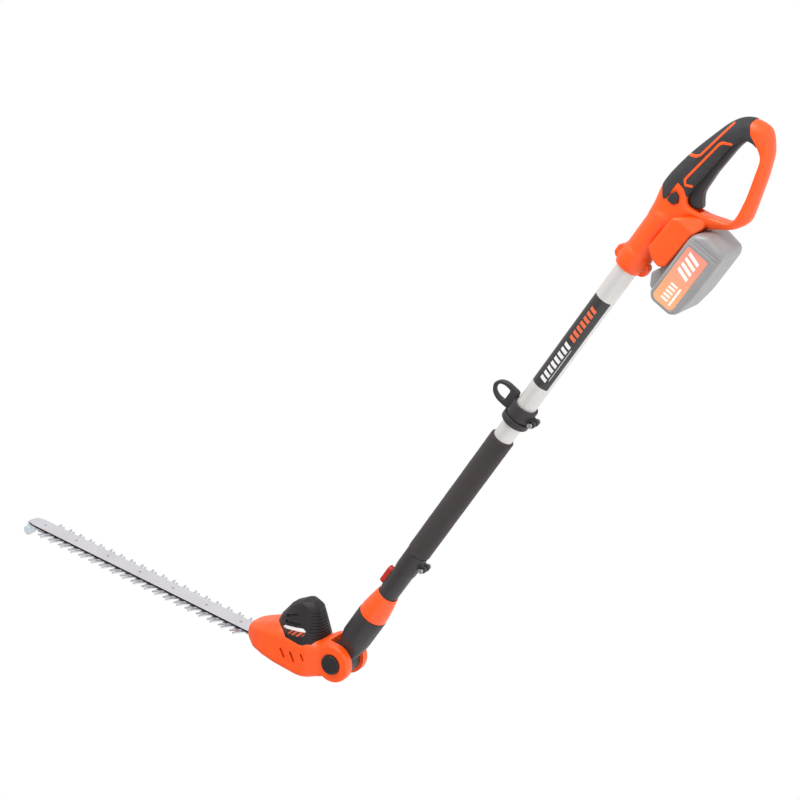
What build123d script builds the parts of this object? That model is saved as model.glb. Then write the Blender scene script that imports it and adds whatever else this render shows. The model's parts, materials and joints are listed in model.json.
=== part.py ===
from build123d import *
import os
from math import acos, cos, degrees, pi, radians, sin, sqrt, tan

# Cordless pole hedge trimmer, in millimetres.
# Frame: +X runs along the pole towards the cutting head, +Y to the operator's left,
# +Z up when the handle's grip is on top. The origin lies on the pole's axis, at the
# middle of the labelled stretch of tube.
# The head is drawn level, blade along +X and motor cover up, then tilted about its pivot.

os.makedirs("parts", exist_ok=True)

# ---- driving dimensions ----
pivot_x = 700.0            # head pivot, from the origin
head_tilt = 66.7           # blade's angle above the pole's line
tube_r = 15.0
tube_wall = 1.5
tube_rear_x = -214.0
tube_front_x = 494.0
label_rear_x = -63.0
label_front_x = 98.0
label_edge_y = 7.7          # the film's long edges, before its turn
label_turn = -2.0
foam_rear_x = 204.0
foam_front_x = 450.0
foam_r = 18.4

# coupling
sleeve_front_x = 540.0
sleeve_r = 15.7
sleeve_collar_r = 17.4
spigot_r = 12.75
spigot_wall = 2.2
spigot_rear_x = 500.0
slide_gap = 0.05
button_x = 520.0
button_half_length = 17.0
button_half_width = 6.5
button_top_z = 23.5
button_travel = 2.5

# knuckle between the pole and the head
lock_collar_rear_r = 16.9
lock_collar_front_r = 23.4
knuckle_rear_x = 594.0
barrel_r = 24.0
barrel_front_x = 655.0
tongue_r = 26.0
tongue_half = 15.4

# strap collar
ring_front_x = 173.0
ring_rear_x = 163.0
bush_rear_x = 140.5
ring_r = 21.5
bush_r = 19.4
eye_x = 148.5
eye_top_z = 58.0
eye_half = 17.0
eye_hole_half = 9.2
eye_hole_low_z = 30.3
eye_thickness = 8.0

# handle
handle_front_x = -117.0
snout_r = 20.0
flange_r = 22.0
grip_half = 17.0
guard_half = 13.0
mount_half = 28.5
shell_wall = 3.5
pad_depth = 1.6

# battery
battery_front_x = -119.0
battery_rear_x = -226.0
battery_top_z = -50.0
battery_bottom_z = -102.0
battery_half = 37.5
rail_half = 21.5

# head, measured along the blade (b), up from the blade (n) and across (y) from the pivot
ear_r = 31.0
ear_outer = 30.0
ear_inner = 15.8
slot_r = 32.5
head_half = 36.0
motor_b = 72.0
gear_b = 104.5
gear_module = 1.0
pinion_teeth = 13
gear_teeth = 52
crank_throw = 8.0
crank_pin_r = 4.0
blade_offset = 3.0         # how far each blade stands from mid-stroke at rest
bar_top_n = -23.0
bar_thick = 3.0
blade_thick = 2.2
layer_gap = 0.2
bar_half = 15.0
bar_tip_b = 658.0
bar_root_b = 132.0
knob_b = 661.5
knob_n = -44.0
knob_r = 8.5
tooth_pitch = 23.4
tooth_tip_b = 614.0
tooth_reach = 29.6
tooth_count = 19
blade_screw_r = 2.4


# ---- small helpers ----
def block(x0, x1, y0, y1, z0, z1):
    """A box between two corners."""
    size = Box(x1 - x0, y1 - y0, z1 - z0)
    return Pos((x0 + x1) / 2, (y0 + y1) / 2, (z0 + z1) / 2) * size


def rod_x(x0, x1, r, y=0.0, z=0.0):
    """A cylinder along X."""
    return Pos((x0 + x1) / 2, y, z) * Rot(0, 90, 0) * Cylinder(r, x1 - x0)


def rod_y(x, z, y0, y1, r):
    """A cylinder along Y."""
    return Pos(x, (y0 + y1) / 2, z) * Rot(90, 0, 0) * Cylinder(r, y1 - y0)


def rod_z(x, y, z0, z1, r):
    """A cylinder along Z."""
    return Pos(x, y, (z0 + z1) / 2) * Cylinder(r, z1 - z0)


def cone_x(x0, x1, r0, r1):
    """A cone along X, r0 at x0 and r1 at x1."""
    return Pos((x0 + x1) / 2, 0, 0) * Rot(0, 90, 0) * Cone(r0, r1, x1 - x0)


def side_plate(points, y0, y1, inset=0.0):
    """An outline in XZ, drawn out from y0 to y1."""
    face = make_face(Polyline(*[(x, z) for x, z in points], close=True).edges())
    if inset:
        face = offset(face, -inset, kind=Kind.INTERSECTION)
    flat = Plane(origin=(0, y1, 0), x_dir=(1, 0, 0), z_dir=(0, -1, 0))
    return extrude(flat * face, amount=y1 - y0)


def top_plate(points, z0, z1, inset=0.0):
    """An outline in XY, drawn out from z0 to z1."""
    face = make_face(Polyline(*[(x, y) for x, y in points], close=True).edges())
    if inset:
        face = offset(face, -inset, kind=Kind.INTERSECTION)
    return extrude(Plane(origin=(0, 0, z0)) * face, amount=z1 - z0)


def mirrored(points):
    """A half outline in (x, y), completed on the other side of y = 0."""
    return list(points) + [(x, -y) for x, y in reversed(points)]


def softened(shape, radius, chosen=None):
    """Rounds the chosen edges, one by one where they can't be rounded together."""
    edges = chosen(shape) if chosen else shape.edges()
    try:
        return fillet(edges, radius)
    except Exception:
        return shape


def hex_nut(x, y0, y1, z, flat, hole):
    """A hexagon nut on a bolt along Y."""
    face = RegularPolygon(flat / 2, 6, major_radius=False) - Circle(hole)
    flat_plane = Plane(origin=(x, y1, z), x_dir=(1, 0, 0), z_dir=(0, -1, 0))
    return extrude(flat_plane * face, amount=y1 - y0)


def in_head(shape):
    """Tilts a piece drawn level to the head's place."""
    return Pos(pivot_x, 0, 0) * Rot(0, -head_tilt, 0) * shape


def coil(x, y, z, r, wire, height, turns):
    """A compression spring standing along Z."""
    path = Helix(pitch=height / turns, height=height, radius=r)
    profile = Plane(origin=path @ 0, z_dir=path % 0) * Circle(wire)
    return Pos(x, y, z) * sweep(profile, path=path)


def save(name, shape):
    """Writes one node."""
    solids = shape.solids()
    whole = solids[0] if len(solids) == 1 else Compound(children=list(solids))
    whole.label = name
    export_step(whole, f"parts/{name}.step")
    print(name, len(solids), round(sum(s.volume for s in solids)))


# ---- pole ----
def upper_tube():
    outer = rod_x(tube_rear_x, tube_front_x, tube_r)
    return outer - rod_x(tube_rear_x, tube_front_x, tube_r - tube_wall)


def tube_label():
    """The printed film stuck on the tube's left-hand third."""
    skin = 0.2
    film = rod_x(label_rear_x, label_front_x, tube_r + skin) - rod_x(label_rear_x, label_front_x, tube_r)
    film = film - block(label_rear_x, label_front_x, -20, label_edge_y, -20, 20)
    return Rot(label_turn, 0, 0) * film


def foam_grip():
    tube = rod_x(foam_rear_x, foam_front_x, tube_r)
    foam = softened(rod_x(foam_rear_x, foam_front_x, foam_r), 1.5)
    return foam - tube


def coupling_sleeve():
    """Clamped on the tube's front end; the head's spigot slides into it."""
    collar = rod_x(foam_front_x + 0.5, tube_front_x + 3, sleeve_collar_r)
    collar = softened(collar, 1.2)
    body = collar + rod_x(tube_front_x, sleeve_front_x, sleeve_r)
    lug = rod_y(465, -22.3, -10, 10, 5.4) + block(459.6, 470.4, -7, 7, -22, -14)
    body = body + lug
    body = body - rod_x(foam_front_x, tube_front_x, tube_r)
    body = body - rod_x(tube_front_x - 1, sleeve_front_x + 1, spigot_r + slide_gap)
    body = body - block(foam_front_x, tube_front_x - 4, -1, 1, -30, -13)
    body = body - rod_y(465, -22.3, -11, 11, 2.3)
    slot = block(button_x - 17.6, button_x + 17.6, -7.1, 7.1, 10, 30)
    return body - slot


def coupling_clamp_bolt():
    """Bolt and nut through the sleeve's clamp lug."""
    bolt = rod_y(465, -22.3, -10, 12.6, 2.2) + rod_y(465, -22.3, -13.4, -10.1, 4.2)
    nut = hex_nut(465, 10.1, 13.0, -22.3, 7.0, 2.2)
    return bolt + nut


def coupling_button():
    """Red release button, with a key that runs in the spigot's keyway."""
    pill = SlotOverall(2 * button_half_length, 2 * button_half_width)
    cap = extrude(Plane(origin=(button_x, 0, 16.3)) * pill, amount=button_top_z - 16.3)
    top = cap.faces().sort_by(Axis.Z)[-1]
    cap = fillet(top.edges(), 1.8)
    return cap + rod_z(button_x, 0, 10.9, 16.5, 3.0)


def button_spring():
    """Leaf spring that lifts the release button."""
    leaf = block(button_x - 16, button_x - 4, -3, 3, 15.2, 15.6)
    foot = block(button_x - 17.4, button_x - 16, -3, 3, 13.4, 15.6)
    return leaf + foot


def coupling_socket():
    """Contact block in the tube's front end."""
    body = rod_x(470, 492, tube_r - tube_wall - 0.1)
    for y in (-5.0, 5.0):
        body = body - rod_x(480, 493, 1.9, y=y)
    return body - rod_x(469, 476, 3.6)


def pole_cable():
    """Two-core lead inside the tube, from the handle to the contact block."""
    return rod_x(-205, 475.9, 3.4)


# ---- strap collar ----
def strap_collar():
    """Split clamp with a closed eye for the shoulder strap."""
    ring = rod_x(ring_rear_x, ring_front_x, ring_r)
    ring = softened(ring, 1.5)
    bush = softened(rod_x(bush_rear_x, ring_rear_x - 1.5, bush_r), 1.2)
    neck = rod_x(bush_rear_x + 1, ring_rear_x + 1, bush_r - 1.3)
    body = ring + bush + neck
    arch = [(eye_x - eye_half, 16.4), (eye_x - eye_half, eye_top_z - eye_half)]
    arch += [(eye_x + eye_half, eye_top_z - eye_half), (eye_x + eye_half, 16.4)]
    eye = side_plate(arch, -eye_thickness / 2, eye_thickness / 2)
    eye = eye + rod_y(eye_x, eye_top_z - eye_half, -eye_thickness / 2, eye_thickness / 2, eye_half)
    hole_z = 51.4 - eye_hole_half
    hole = rod_y(eye_x, hole_z, -9, 9, eye_hole_half)
    hole = hole + block(eye_x - eye_hole_half, eye_x + eye_hole_half, -9, 9, eye_hole_low_z, hole_z)
    body = body + (eye - hole)
    ears = rod_y(155, -24, -11, 11, 5.2) + block(149.8, 160.2, -8, 8, -24, -15)
    body = body + ears - rod_y(155, -24, -12, 12, 2.3)
    body = body - block(bush_rear_x - 1, ring_front_x + 1, -1.2, 1.2, -35, -10)
    return body - rod_x(bush_rear_x - 1, ring_front_x + 1, tube_r + 0.27)


def strap_bolt():
    bolt = rod_y(155, -24, -11, 13.4, 2.2) + rod_y(155, -24, -14.2, -11.1, 4.2)
    return bolt + hex_nut(155, 11.1, 14.0, -24, 7.0, 2.2)


# ---- handle ----
# side outline of the grip and guard loop, from the snout's top, rearwards and back along the bottom
handle_outline = [
    (-170, 15), (-196, 19), (-214, 22.5), (-234, 27.2), (-254, 27), (-274, 24.2), (-294, 20.5),
    (-314, 15.2), (-334, 9.4), (-354, 3.2), (-368, -4), (-377, -14), (-382.5, -28), (-383, -43),
    (-375, -54), (-360, -66), (-334, -76.5), (-296, -88.2), (-277, -93.8), (-266, -92), (-251, -83),
    (-239, -69), (-228, -54), (-216, -47), (-190, -44), (-170, -20),
]
finger_window = [
    (-357, -41), (-353, -24), (-330, -16.5), (-262, -11), (-246, -11.5), (-239.5, -20), (-242, -38),
    (-257, -76), (-270, -77.5), (-297, -72.5), (-346, -57.5),
]
mount_outline = [(-232, -12), (-163, -12), (-155.5, -36), (-162, -47), (-226, -47), (-238, -30)]
pad_outline = [
    (-226, 10), (-224, 30), (-300, 36), (-400, 0), (-390, -19), (-370, -19), (-362, -30),
    (-358.5, -37), (-354, -22), (-330, -14), (-262, -8), (-252, -8), (-257, -1), (-257, 10),
]
screw_places = [(-129, 20.5), (-129, -20.5), (-190, -30), (-222, 15), (-224, -20),
    (-362, -18), (-372, -40), (-281, -82), (-345, -68),
]


def loop_solid(inset, half):
    """The grip and guard loop, shrunk by inset on every side."""
    loop = side_plate(handle_outline, -half + inset, half - inset, inset)
    window = side_plate(finger_window, -half - 1, half + 1, -inset if inset else 0)
    loop = loop - window
    low = side_plate([(-400, -41), (-246, -41), (-215, -52), (-215, -110), (-400, -110)], -60, 60)
    thin = side_plate(handle_outline, -guard_half + inset, guard_half - inset, inset) - window
    return (loop - low) + (thin & low)


def handle_body():
    """The outside of both handle halves, as one solid."""
    loop = loop_solid(0, grip_half)
    snout = rod_x(-235, handle_front_x, snout_r)
    mount = side_plate(mount_outline, -mount_half, mount_half)
    flange = rod_x(-140, handle_front_x, flange_r)
    flange = softened(flange, 2.5)
    lugs = block(-138, -120, -6, 6, -27, 27)
    return loop + snout + mount + flange + softened(lugs, 2.0)


def handle_cavity():
    """What is hollow inside both halves."""
    hollow = loop_solid(shell_wall, grip_half)
    snout = rod_x(-235, -150, snout_r - shell_wall)
    mount = side_plate(mount_outline, -mount_half + shell_wall, mount_half - shell_wall, shell_wall)
    tube = rod_x(tube_rear_x, handle_front_x + 1, tube_r)
    trigger_slot = side_plate(
        [(-359, -40), (-352, -12), (-300, 4), (-235.5, 6), (-235.5, -40), (-262, -45)], -9.2, 9.2
    )
    rail_bay = block(-229, -150, -24, 24, -60, -34)
    return hollow + snout + mount + tube + trigger_slot + rail_bay


def handle_bosses():
    """Screw pillars between the halves."""
    posts = [rod_y(x, z, -grip_half + 2, grip_half - 2, 3.6) for x, z in screw_places[5:]]
    posts += [rod_y(-222, 15, -grip_half + 2, grip_half - 2, 3.6)]
    shape = posts[0]
    for post in posts[1:]:
        shape = shape + post
    return shape & loop_solid(0.8, grip_half)


def grip_pad(side):
    """Soft overmould on one half of the grip."""
    skin = loop_solid(0, grip_half) - loop_solid(pad_depth, grip_half)
    region = side_plate(pad_outline, 0.15, 40) if side > 0 else side_plate(pad_outline, -40, -0.15)
    trigger_room = block(-362, -235, -9.2, 9.2, -60, 0)
    return largest((skin & region) - trigger_room)


def largest(shape):
    """The biggest solid of a shape."""
    return max(shape.solids(), key=lambda s: s.volume)


def handle_shell(side, body):
    half = block(-420, -100, 0, 60, -130, 60) if side > 0 else block(-420, -100, -60, 0, -130, 60)
    shell = (body & half) - grip_pad(side)
    button_hole = rod_y(-237.5, 1, -40, 40, 8.3)
    pin_hole = rod_y(*trigger_pivot, -13.3, 13.3, 2.0)
    screw_holes = [rod_y(x, z, -40, 40, 1.5) for x, z in screw_places]
    shell = shell - button_hole - pin_hole
    for hole in screw_holes:
        shell = shell - hole
    return largest(shell)


def screw_half(x, z):
    """Half-width of the handle at a screw."""
    if x > -140:
        return 11.0
    if z < -40 or x < -370:
        return guard_half
    return grip_half


def handle_screws():
    """Self-tapping screws, heads sunk in the right half."""
    screws = None
    for x, z in screw_places:
        half = screw_half(x, z)
        if (x, z) == (-190, -30):
            half = mount_half
        if (x, z) == (-224, -20):
            half = grip_half - 1
        screw = rod_y(x, z, -half + 2.2, half - 4, 1.45)
        screws = screw if screws is None else screws + screw
    return screws


trigger_pivot = (-347.0, -19.0)
trigger_outline = [
    (-352, -15), (-353.5, -31), (-346, -27.5), (-335, -26), (-295, -24.3), (-262, -26.3), (-253, -33),
    (-246, -35.5), (-240.5, -31), (-239, -20), (-244, -11), (-262, -7), (-300, -7), (-340, -12),
]


def trigger():
    body = side_plate(trigger_outline, -8.6, 8.6)
    body = softened(body, 1.6)
    return body - rod_y(*trigger_pivot, -10, 10, 2.05)


def trigger_pin():
    return rod_y(*trigger_pivot, -13.2, 13.2, 2.0)


def trigger_switch():
    """Micro-switch body and its plunger housing above the trigger."""
    body = block(-298, -268, -9, 9, 0.6, 13)
    return body + block(-290, -280, -3, 3, -0.2, 0.8)


def trigger_spring():
    return coil(-258, 0, -6.4, 3.0, 0.45, 9.0, 5)


def control_board():
    """Circuit board between the grip's halves, behind the switch."""
    board = block(-340, -304, -10.5, 10.5, 0.6, 2.2)
    return board + block(-318, -308, -6, 6, 2.0, 6.0)


def lock_off_button():
    """Cross bar with a five-sided cap at each end; it slides sideways."""
    points = [(-245.5, 4), (-237, 7.5), (-230, 6), (-230, -2), (-236, -6.5), (-243, -3)]
    cap = side_plate(points, -19.5, 19.5)
    cap = cap & rod_y(-237.5, 1, -20, 20, 8.1)
    waist = block(-247, -228, -13.2, 13.2, -8, 10) - rod_y(-237.5, 1, -20, 20, 4.5)
    return cap - waist


def lock_off_spring():
    """Bent wire spring that centres the lock-off bar."""
    return block(-238.2, -236.8, -4, 4, 6.3, 12.5)


def battery_terminals():
    """Contact carrier at the back of the battery bay, with its blades."""
    carrier = block(-228.6, -221, -20, 20, -46, -34.2)
    for y in (-12, 0, 12):
        carrier = carrier + block(-221.5, -208, y - 0.4, y + 0.4, -44, -37)
    return carrier


# ---- battery ----
battery_side = [
    (-119, -58), (-127, -50), (-212, -50), (-218, -53), (-226, -64), (-226, -95), (-219, -102),
    (-160, -102), (-127, -98), (-119, -90),
]


def battery_body():
    body = side_plate(battery_side, -battery_half, battery_half)
    long_edges = body.edges().filter_by(GeomType.LINE).filter_by(
        lambda e: abs(abs(e.center().Y) - battery_half) < 0.01
    )
    return fillet(long_edges, 5.0)


def battery_case_lower(body):
    hollow = side_plate(battery_side, -battery_half + 3, battery_half - 3, 3)
    case = (body - hollow) & block(-240, -100, -50, 50, -110, -62)
    return case - battery_screws(1.6)


def battery_case_upper(body):
    hollow = side_plate(battery_side, -battery_half + 3, battery_half - 3, 3)
    rail = block(-205, -140, -rail_half, rail_half, -51, -37)
    rail = rail + block(-205, -160, -rail_half - 1.8, rail_half + 1.8, -42, -37)
    nose = side_plate([(-153, -50.5), (-151, -38), (-140, -33), (-124, -42), (-122, -50.5)], -17, 17)
    top = ((body - hollow) & block(-240, -100, -50, 50, -62, -40)) + rail + nose
    for y in (-12, 0, 12):
        top = top - block(-210, -190, y - 1.2, y + 1.2, -45.5, -36)
    latch_room = block(-149.5, -125.5, -12.4, 12.4, -47, -30)
    return top - latch_room - battery_screws(1.6)


def battery_latch():
    """Press-down release tab on the battery's front shoulder."""
    points = [(-149, -46), (-149, -37.2), (-140, -33.5), (-126, -41), (-126, -46)]
    return side_plate(points, -12, 12) - block(-144, -132, -8, 8, -47, -42.5)


def latch_spring():
    return coil(-138, 0, -46.4, 3.2, 0.35, 3.2, 3)


def battery_cells():
    """Two layers of five round cells, lying across the case."""
    cells = None
    for z in (-66.0, -84.4):
        for k in range(5):
            cell = rod_y(-209.8 + 18.4 * k, z, -32.5, 32.5, 9.0)
            cells = cell if cells is None else cells + cell
    return cells


def battery_screws(r=1.5):
    """Four long screws that join the case halves from below."""
    screws = None
    for x in (-221.0, -124.4):
        for y in (-30, 30):
            screw = rod_z(x, y, -95, -58, r)
            screws = screw if screws is None else screws + screw
    return screws


# ---- knuckle ----
def lock_collar():
    """Orange clamping nut around the spigot."""
    nut = cone_x(sleeve_front_x + 0.4, knuckle_rear_x - 0.6, lock_collar_rear_r, lock_collar_front_r)
    nut = softened(nut, 1.0)
    return nut - rod_x(sleeve_front_x, knuckle_rear_x, spigot_r + slide_gap)


def knuckle_spigot():
    """Tube that plugs into the pole's sleeve, with a keyway on top."""
    pipe = rod_x(spigot_rear_x, 640, spigot_r) - rod_x(spigot_rear_x - 1, 641, spigot_r - spigot_wall)
    return pipe - block(spigot_rear_x - 1, button_x + 4, -3.4, 3.4, 5, 20)


def knuckle_body():
    barrel = softened(rod_x(knuckle_rear_x, barrel_front_x, barrel_r), 2.0)
    neck_points = [(barrel_front_x - 20, 20), (barrel_front_x - 4, 20), (pivot_x - 14, 15)]
    neck_points += [(pivot_x, 10), (pivot_x, -10), (pivot_x - 12, -19)]
    neck_points += [(barrel_front_x - 4, -22), (barrel_front_x - 20, -22)]
    neck = side_plate(neck_points, -tongue_half, tongue_half)
    tongue = rod_y(pivot_x, 0, -tongue_half, tongue_half, tongue_r)
    body = barrel + neck + tongue
    swing = rod_y(pivot_x, 0, -40, 40, ear_r + 1.2) - rod_y(pivot_x, 0, -tongue_half, tongue_half, 60)
    body = body - swing
    body = body - rod_x(knuckle_rear_x - 1, 640, spigot_r)
    return body - rod_y(pivot_x, 0, -30, 30, 6.05)


def knuckle_half(body, side):
    half = block(560, 760, 0, 60, -60, 60) if side > 0 else block(560, 760, -60, 0, -60, 60)
    cavity = rod_x(639, 668, 9.0)
    shell = (body & half) - cavity
    for x, z in ((648, 18), (648, -18)):
        shell = shell - rod_y(x, z, -30, 30, 1.6)
    return shell


def knuckle_screws():
    screws = None
    for z in (18, -18):
        screw = rod_y(648, z, -12.0, 12.0, 1.55)
        screws = screw if screws is None else screws + screw
    return screws


def spigot_plug():
    """Plug that meets the pole's contact block."""
    plug = rod_x(spigot_rear_x, spigot_rear_x + 30, 8.0)
    ring = rod_x(spigot_rear_x + 12, spigot_rear_x + 28, spigot_r - spigot_wall)
    ring = ring - block(spigot_rear_x, spigot_rear_x + 40, -4, 4, 4, 20)
    return plug + ring


def head_cable():
    """Lead from the plug to the head's pivot."""
    return rod_x(spigot_rear_x + 30, 666, 3.0)


# ---- head, drawn level around its pivot ----
head_side = [
    (-6, 30.4), (10, 31), (24, 31), (32, 22), (112, 22), (136, 17), (160, 3), (170, -8), (172, -20),
    (168, -31), (151, -39), (100, -43.5), (56, -45.5), (36, -41), (14, -29), (0, -10), (0, 10),
]
head_plan = [
    (-10, ear_outer), (22, ear_outer), (46, head_half), (104, head_half), (150, 28), (166, 21), (173, 12),
]
cover_side = [
    (26, 12), (28, 32), (38, 58), (50, 73), (62, 79), (79, 78), (99, 66), (113, 49), (122, 32), (128, 12)
]
cover_plan = [(24, 14), (32, 25), (48, 34), (90, 34), (112, 28), (129, 12)]
cover_front = [(34, 12), (34, 20), (30, 46), (17, 73), (8, 79)]


def head_solid(inset):
    """Outer form of the gear housing without its ears."""
    side = side_plate(head_side, -60, 60, inset)
    plan = top_plate(mirrored(head_plan), -60, 60, inset)
    return side & plan


def cover_solid(inset):
    """Outer form of the motor cover."""
    side = side_plate(cover_side, -60, 60, inset)
    plan = top_plate(mirrored(cover_plan), 0, 100, inset)
    face = make_face(Polyline(*mirrored_pairs(cover_front), close=True).edges())
    if inset:
        face = offset(face, -inset, kind=Kind.INTERSECTION)
    across = Plane(origin=(0, 0, 0), x_dir=(0, 1, 0), z_dir=(1, 0, 0))
    return side & plan & extrude(across * face, amount=200)


def mirrored_pairs(points):
    """A half outline in (y, n), completed on the other side."""
    return list(points) + [(-y, z) for y, z in reversed(points)]


def gear_housing():
    """Outside of both housing halves, hollowed for the gears and the cover."""
    body = head_solid(0)
    ears = rod_y(0, 0, ear_inner, ear_outer, ear_r) + rod_y(0, 0, -ear_outer, -ear_inner, ear_r)
    body = body + softened(ears, 3.0, lambda s: s.edges().filter_by(GeomType.CIRCLE))
    slot = rod_y(0, 0, -ear_inner, ear_inner, slot_r)
    slot = slot + side_plate([(-60, -60), (8, -60), (8, 0), (24, 60), (-60, 60)], -ear_inner, ear_inner)
    body = body - slot
    inner = head_solid(3.2) & block(38, 180, -60, 60, -60, 60)
    body = body - inner
    body = body - cover_solid(-0.15)
    exit_slot = block(150, 190, -17, 17, -32.6, -22.4)
    body = body - exit_slot
    body = body - rod_y(0, 0, -40, 40, 6.05)
    body = body - rod_y(0, 0, 24.5, 40, 16.3) - rod_y(0, 0, -40, -25.5, 16.3)
    return body


def housing_half(body, side):
    half = block(-80, 220, 0, 80, -80, 120) if side > 0 else block(-80, 220, -80, 0, -80, 120)
    return largest(body & half)


head_screw_places = [(52, -36), (118, -37), (142, 6)]
head_screw_halves = [20, 20, 14]


def head_screws():
    screws = None
    for (b, n), half in zip(head_screw_places, head_screw_halves):
        screw = rod_y(b, n, -half, half, 1.6)
        screws = screw if screws is None else screws + screw
    return screws


def motor_cover():
    """Faceted cover with slots for cooling air in its rear corners."""
    shell = cover_solid(0) - cover_solid(2.6)
    shell = shell - block(0, 200, -28, 28, 0, 15)
    for k in range(7):
        n = 26 + 5.2 * k
        cut = block(24, 60, 12, 40, n, n + 2.2) + block(24, 60, -40, -12, n, n + 2.2)
        shell = shell - (cut - block(40 + 1.2 * k, 60, -60, 60, 0, 100))
    return largest(shell)


def motor_can():
    can = rod_z(motor_b, 0, 16, 58, 20.5) - rod_z(motor_b, 0, 17.5, 56.5, 19.0)
    return can - rod_z(motor_b, 0, 10, 70, 6.55)


def motor_magnets():
    """Two curved magnets on the can's wall."""
    ring = rod_z(motor_b, 0, 24, 50, 18.95) - rod_z(motor_b, 0, 24, 50, 16.2)
    return ring - block(motor_b - 30, motor_b + 30, -5, 5, 20, 60)


def motor_bearings():
    """Sleeve bearings in both ends of the can."""
    low = rod_z(motor_b, 0, 15, 19.5, 6.5) - rod_z(motor_b, 0, 14, 20, 2.55)
    high = rod_z(motor_b, 0, 54.5, 59, 6.5) - rod_z(motor_b, 0, 54, 60, 2.55)
    return low + high


def motor_rotor():
    """Shaft, core and commutator."""
    shaft = rod_z(motor_b, 0, -11, 60, 2.5)
    core = rod_z(motor_b, 0, 25, 46, 15.6)
    for k in range(6):
        angle = radians(60 * k)
        slot = rod_z(motor_b + 14 * cos(angle), 14 * sin(angle), 24, 47, 2.6)
        core = core - slot
    commutator = rod_z(motor_b, 0, 46, 53.5, 6.0)
    return shaft + core + commutator


def fan_disc():
    """Cooling fan under the motor."""
    hub = rod_z(motor_b, 0, 4, 12, 5.0) + rod_z(motor_b, 0, 4, 5.5, 17)
    for k in range(8):
        blade = Pos(motor_b, 0, 0) * Rot(0, 0, 45 * k) * block(4, 17, -0.7, 0.7, 4, 12)
        hub = hub + blade
    return hub - rod_z(motor_b, 0, 0, 20, 2.5)


def gear_outline(teeth, thin):
    """Involute outline; thin narrows each tooth, in radians at the pitch circle."""
    pressure = radians(20)
    pitch_r = gear_module * teeth / 2
    base_r = pitch_r * cos(pressure)
    tip_r = pitch_r + 0.85 * gear_module
    root_r = pitch_r - 1.25 * gear_module
    half = pi / (2 * teeth) - thin
    flank = []
    for k in range(5):
        r = max(base_r, root_r) + (tip_r - max(base_r, root_r)) * k / 4
        roll = acos(min(1.0, base_r / r))
        spread = half + (tan(pressure) - pressure) - (tan(roll) - roll)
        flank.append((r, spread))
    points = []
    for k in range(teeth):
        centre = 2 * pi * k / teeth
        rising = [(r, centre - a) for r, a in flank]
        falling = [(r, centre + a) for r, a in reversed(flank)]
        if root_r < base_r:
            rising = [(root_r, centre - flank[0][1])] + rising
            falling = falling + [(root_r, centre + flank[0][1])]
        points += rising + falling
    return [(r * cos(a), r * sin(a)) for r, a in points]


def motor_pinion():
    """Pinion turned half a tooth so that it meshes with the gear in front of it."""
    face = make_face(Polyline(*gear_outline(pinion_teeth, 0.012), close=True).edges())
    pinion = extrude(face, amount=8)
    turned = Rot(0, 0, 180 / pinion_teeth) * pinion
    return Pos(motor_b, 0, -11) * turned - rod_z(motor_b, 0, -12, 0, 2.5)


def drive_gear():
    face = make_face(Polyline(*gear_outline(gear_teeth, 0.004), close=True).edges())
    gear = extrude(face, amount=5)
    tooth_at_pinion = 180 - 360 / gear_teeth * round(180 * gear_teeth / 360)
    gear = Pos(gear_b, 0, -9.5) * Rot(0, 0, tooth_at_pinion) * gear
    for k in range(5):
        angle = radians(72 * k + 36)
        gear = gear - rod_z(gear_b + 16.5 * cos(angle), 16.5 * sin(angle), -12, 0, 5.0)
    return gear - rod_z(gear_b, 0, -20, 5, 5.0)


def crank_angle():
    """Turn of the crank at which each blade stands at its rest offset."""
    return acos(blade_offset / crank_throw)


def crankshaft():
    """Gear shaft with one crank pin for each blade, opposite each other."""
    a = crank_angle()
    dx = crank_throw * cos(a)
    dy = crank_throw * sin(a)
    shaft = rod_z(gear_b, 0, -22.0, 10, 5.0)
    web = rod_z(gear_b, 0, -25.4, -21.5, 12.4)
    middle = upper_blade_low() - layer_gap / 2
    upper_pin = rod_z(gear_b + dx, dy, middle, -25.0, crank_pin_r)
    joint = hull_disc(dx, dy, middle - 0.05, middle + 0.05)
    lower_pin = rod_z(gear_b - dx, -dy, lower_blade_low() - 0.3, middle, crank_pin_r)
    return shaft + web + upper_pin + joint + lower_pin


def hull_disc(dx, dy, n0, n1):
    """Thin bridge between the two crank pins."""
    length = 2 * sqrt(dx * dx + dy * dy)
    turn = degrees(acos(dx / crank_throw))
    bridge = block(-length / 2, length / 2, -crank_pin_r, crank_pin_r, n0, n1)
    return Pos(gear_b, 0, 0) * Rot(0, 0, turn) * bridge


def upper_blade_high():
    return bar_top_n - bar_thick - layer_gap


def upper_blade_low():
    return upper_blade_high() - blade_thick


def lower_blade_high():
    return upper_blade_low() - layer_gap


def lower_blade_low():
    return lower_blade_high() - blade_thick


def gearbox_plate():
    """Metal plate that carries the gear's bearings and the guide bar."""
    plate = top_plate(mirrored([(56, 24), (96, 29), (140, 24), (158, 15)]), -17.5, -13.5)
    spacer = block(134, 156, -13, 13, bar_top_n, -17.5)
    plate = plate + spacer
    return plate - rod_z(gear_b, 0, -30, 0, 9.55)


def gear_bearings():
    low = rod_z(gear_b, 0, -17.5, -13.5, 9.5) - rod_z(gear_b, 0, -20, 0, 5.05)
    high = rod_z(gear_b, 0, 3, 9, 9.5) - rod_z(gear_b, 0, 0, 12, 5.05)
    return low + high


def blade_screw_places():
    return [146.0] + [196.0 + 72.0 * k for k in range(7)]


def blade_guide_bar():
    """Flat bar that stiffens the blades and carries their screws."""
    points = [(bar_root_b, bar_half), (bar_tip_b - 14, bar_half), (bar_tip_b - 4, 12), (bar_tip_b, 8)]
    bar = top_plate(mirrored(points), bar_top_n - bar_thick, bar_top_n)
    for b in blade_screw_places():
        bar = bar - rod_z(b, 0, bar_top_n - 5, bar_top_n + 1, blade_screw_r + 0.05)
    return bar


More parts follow.
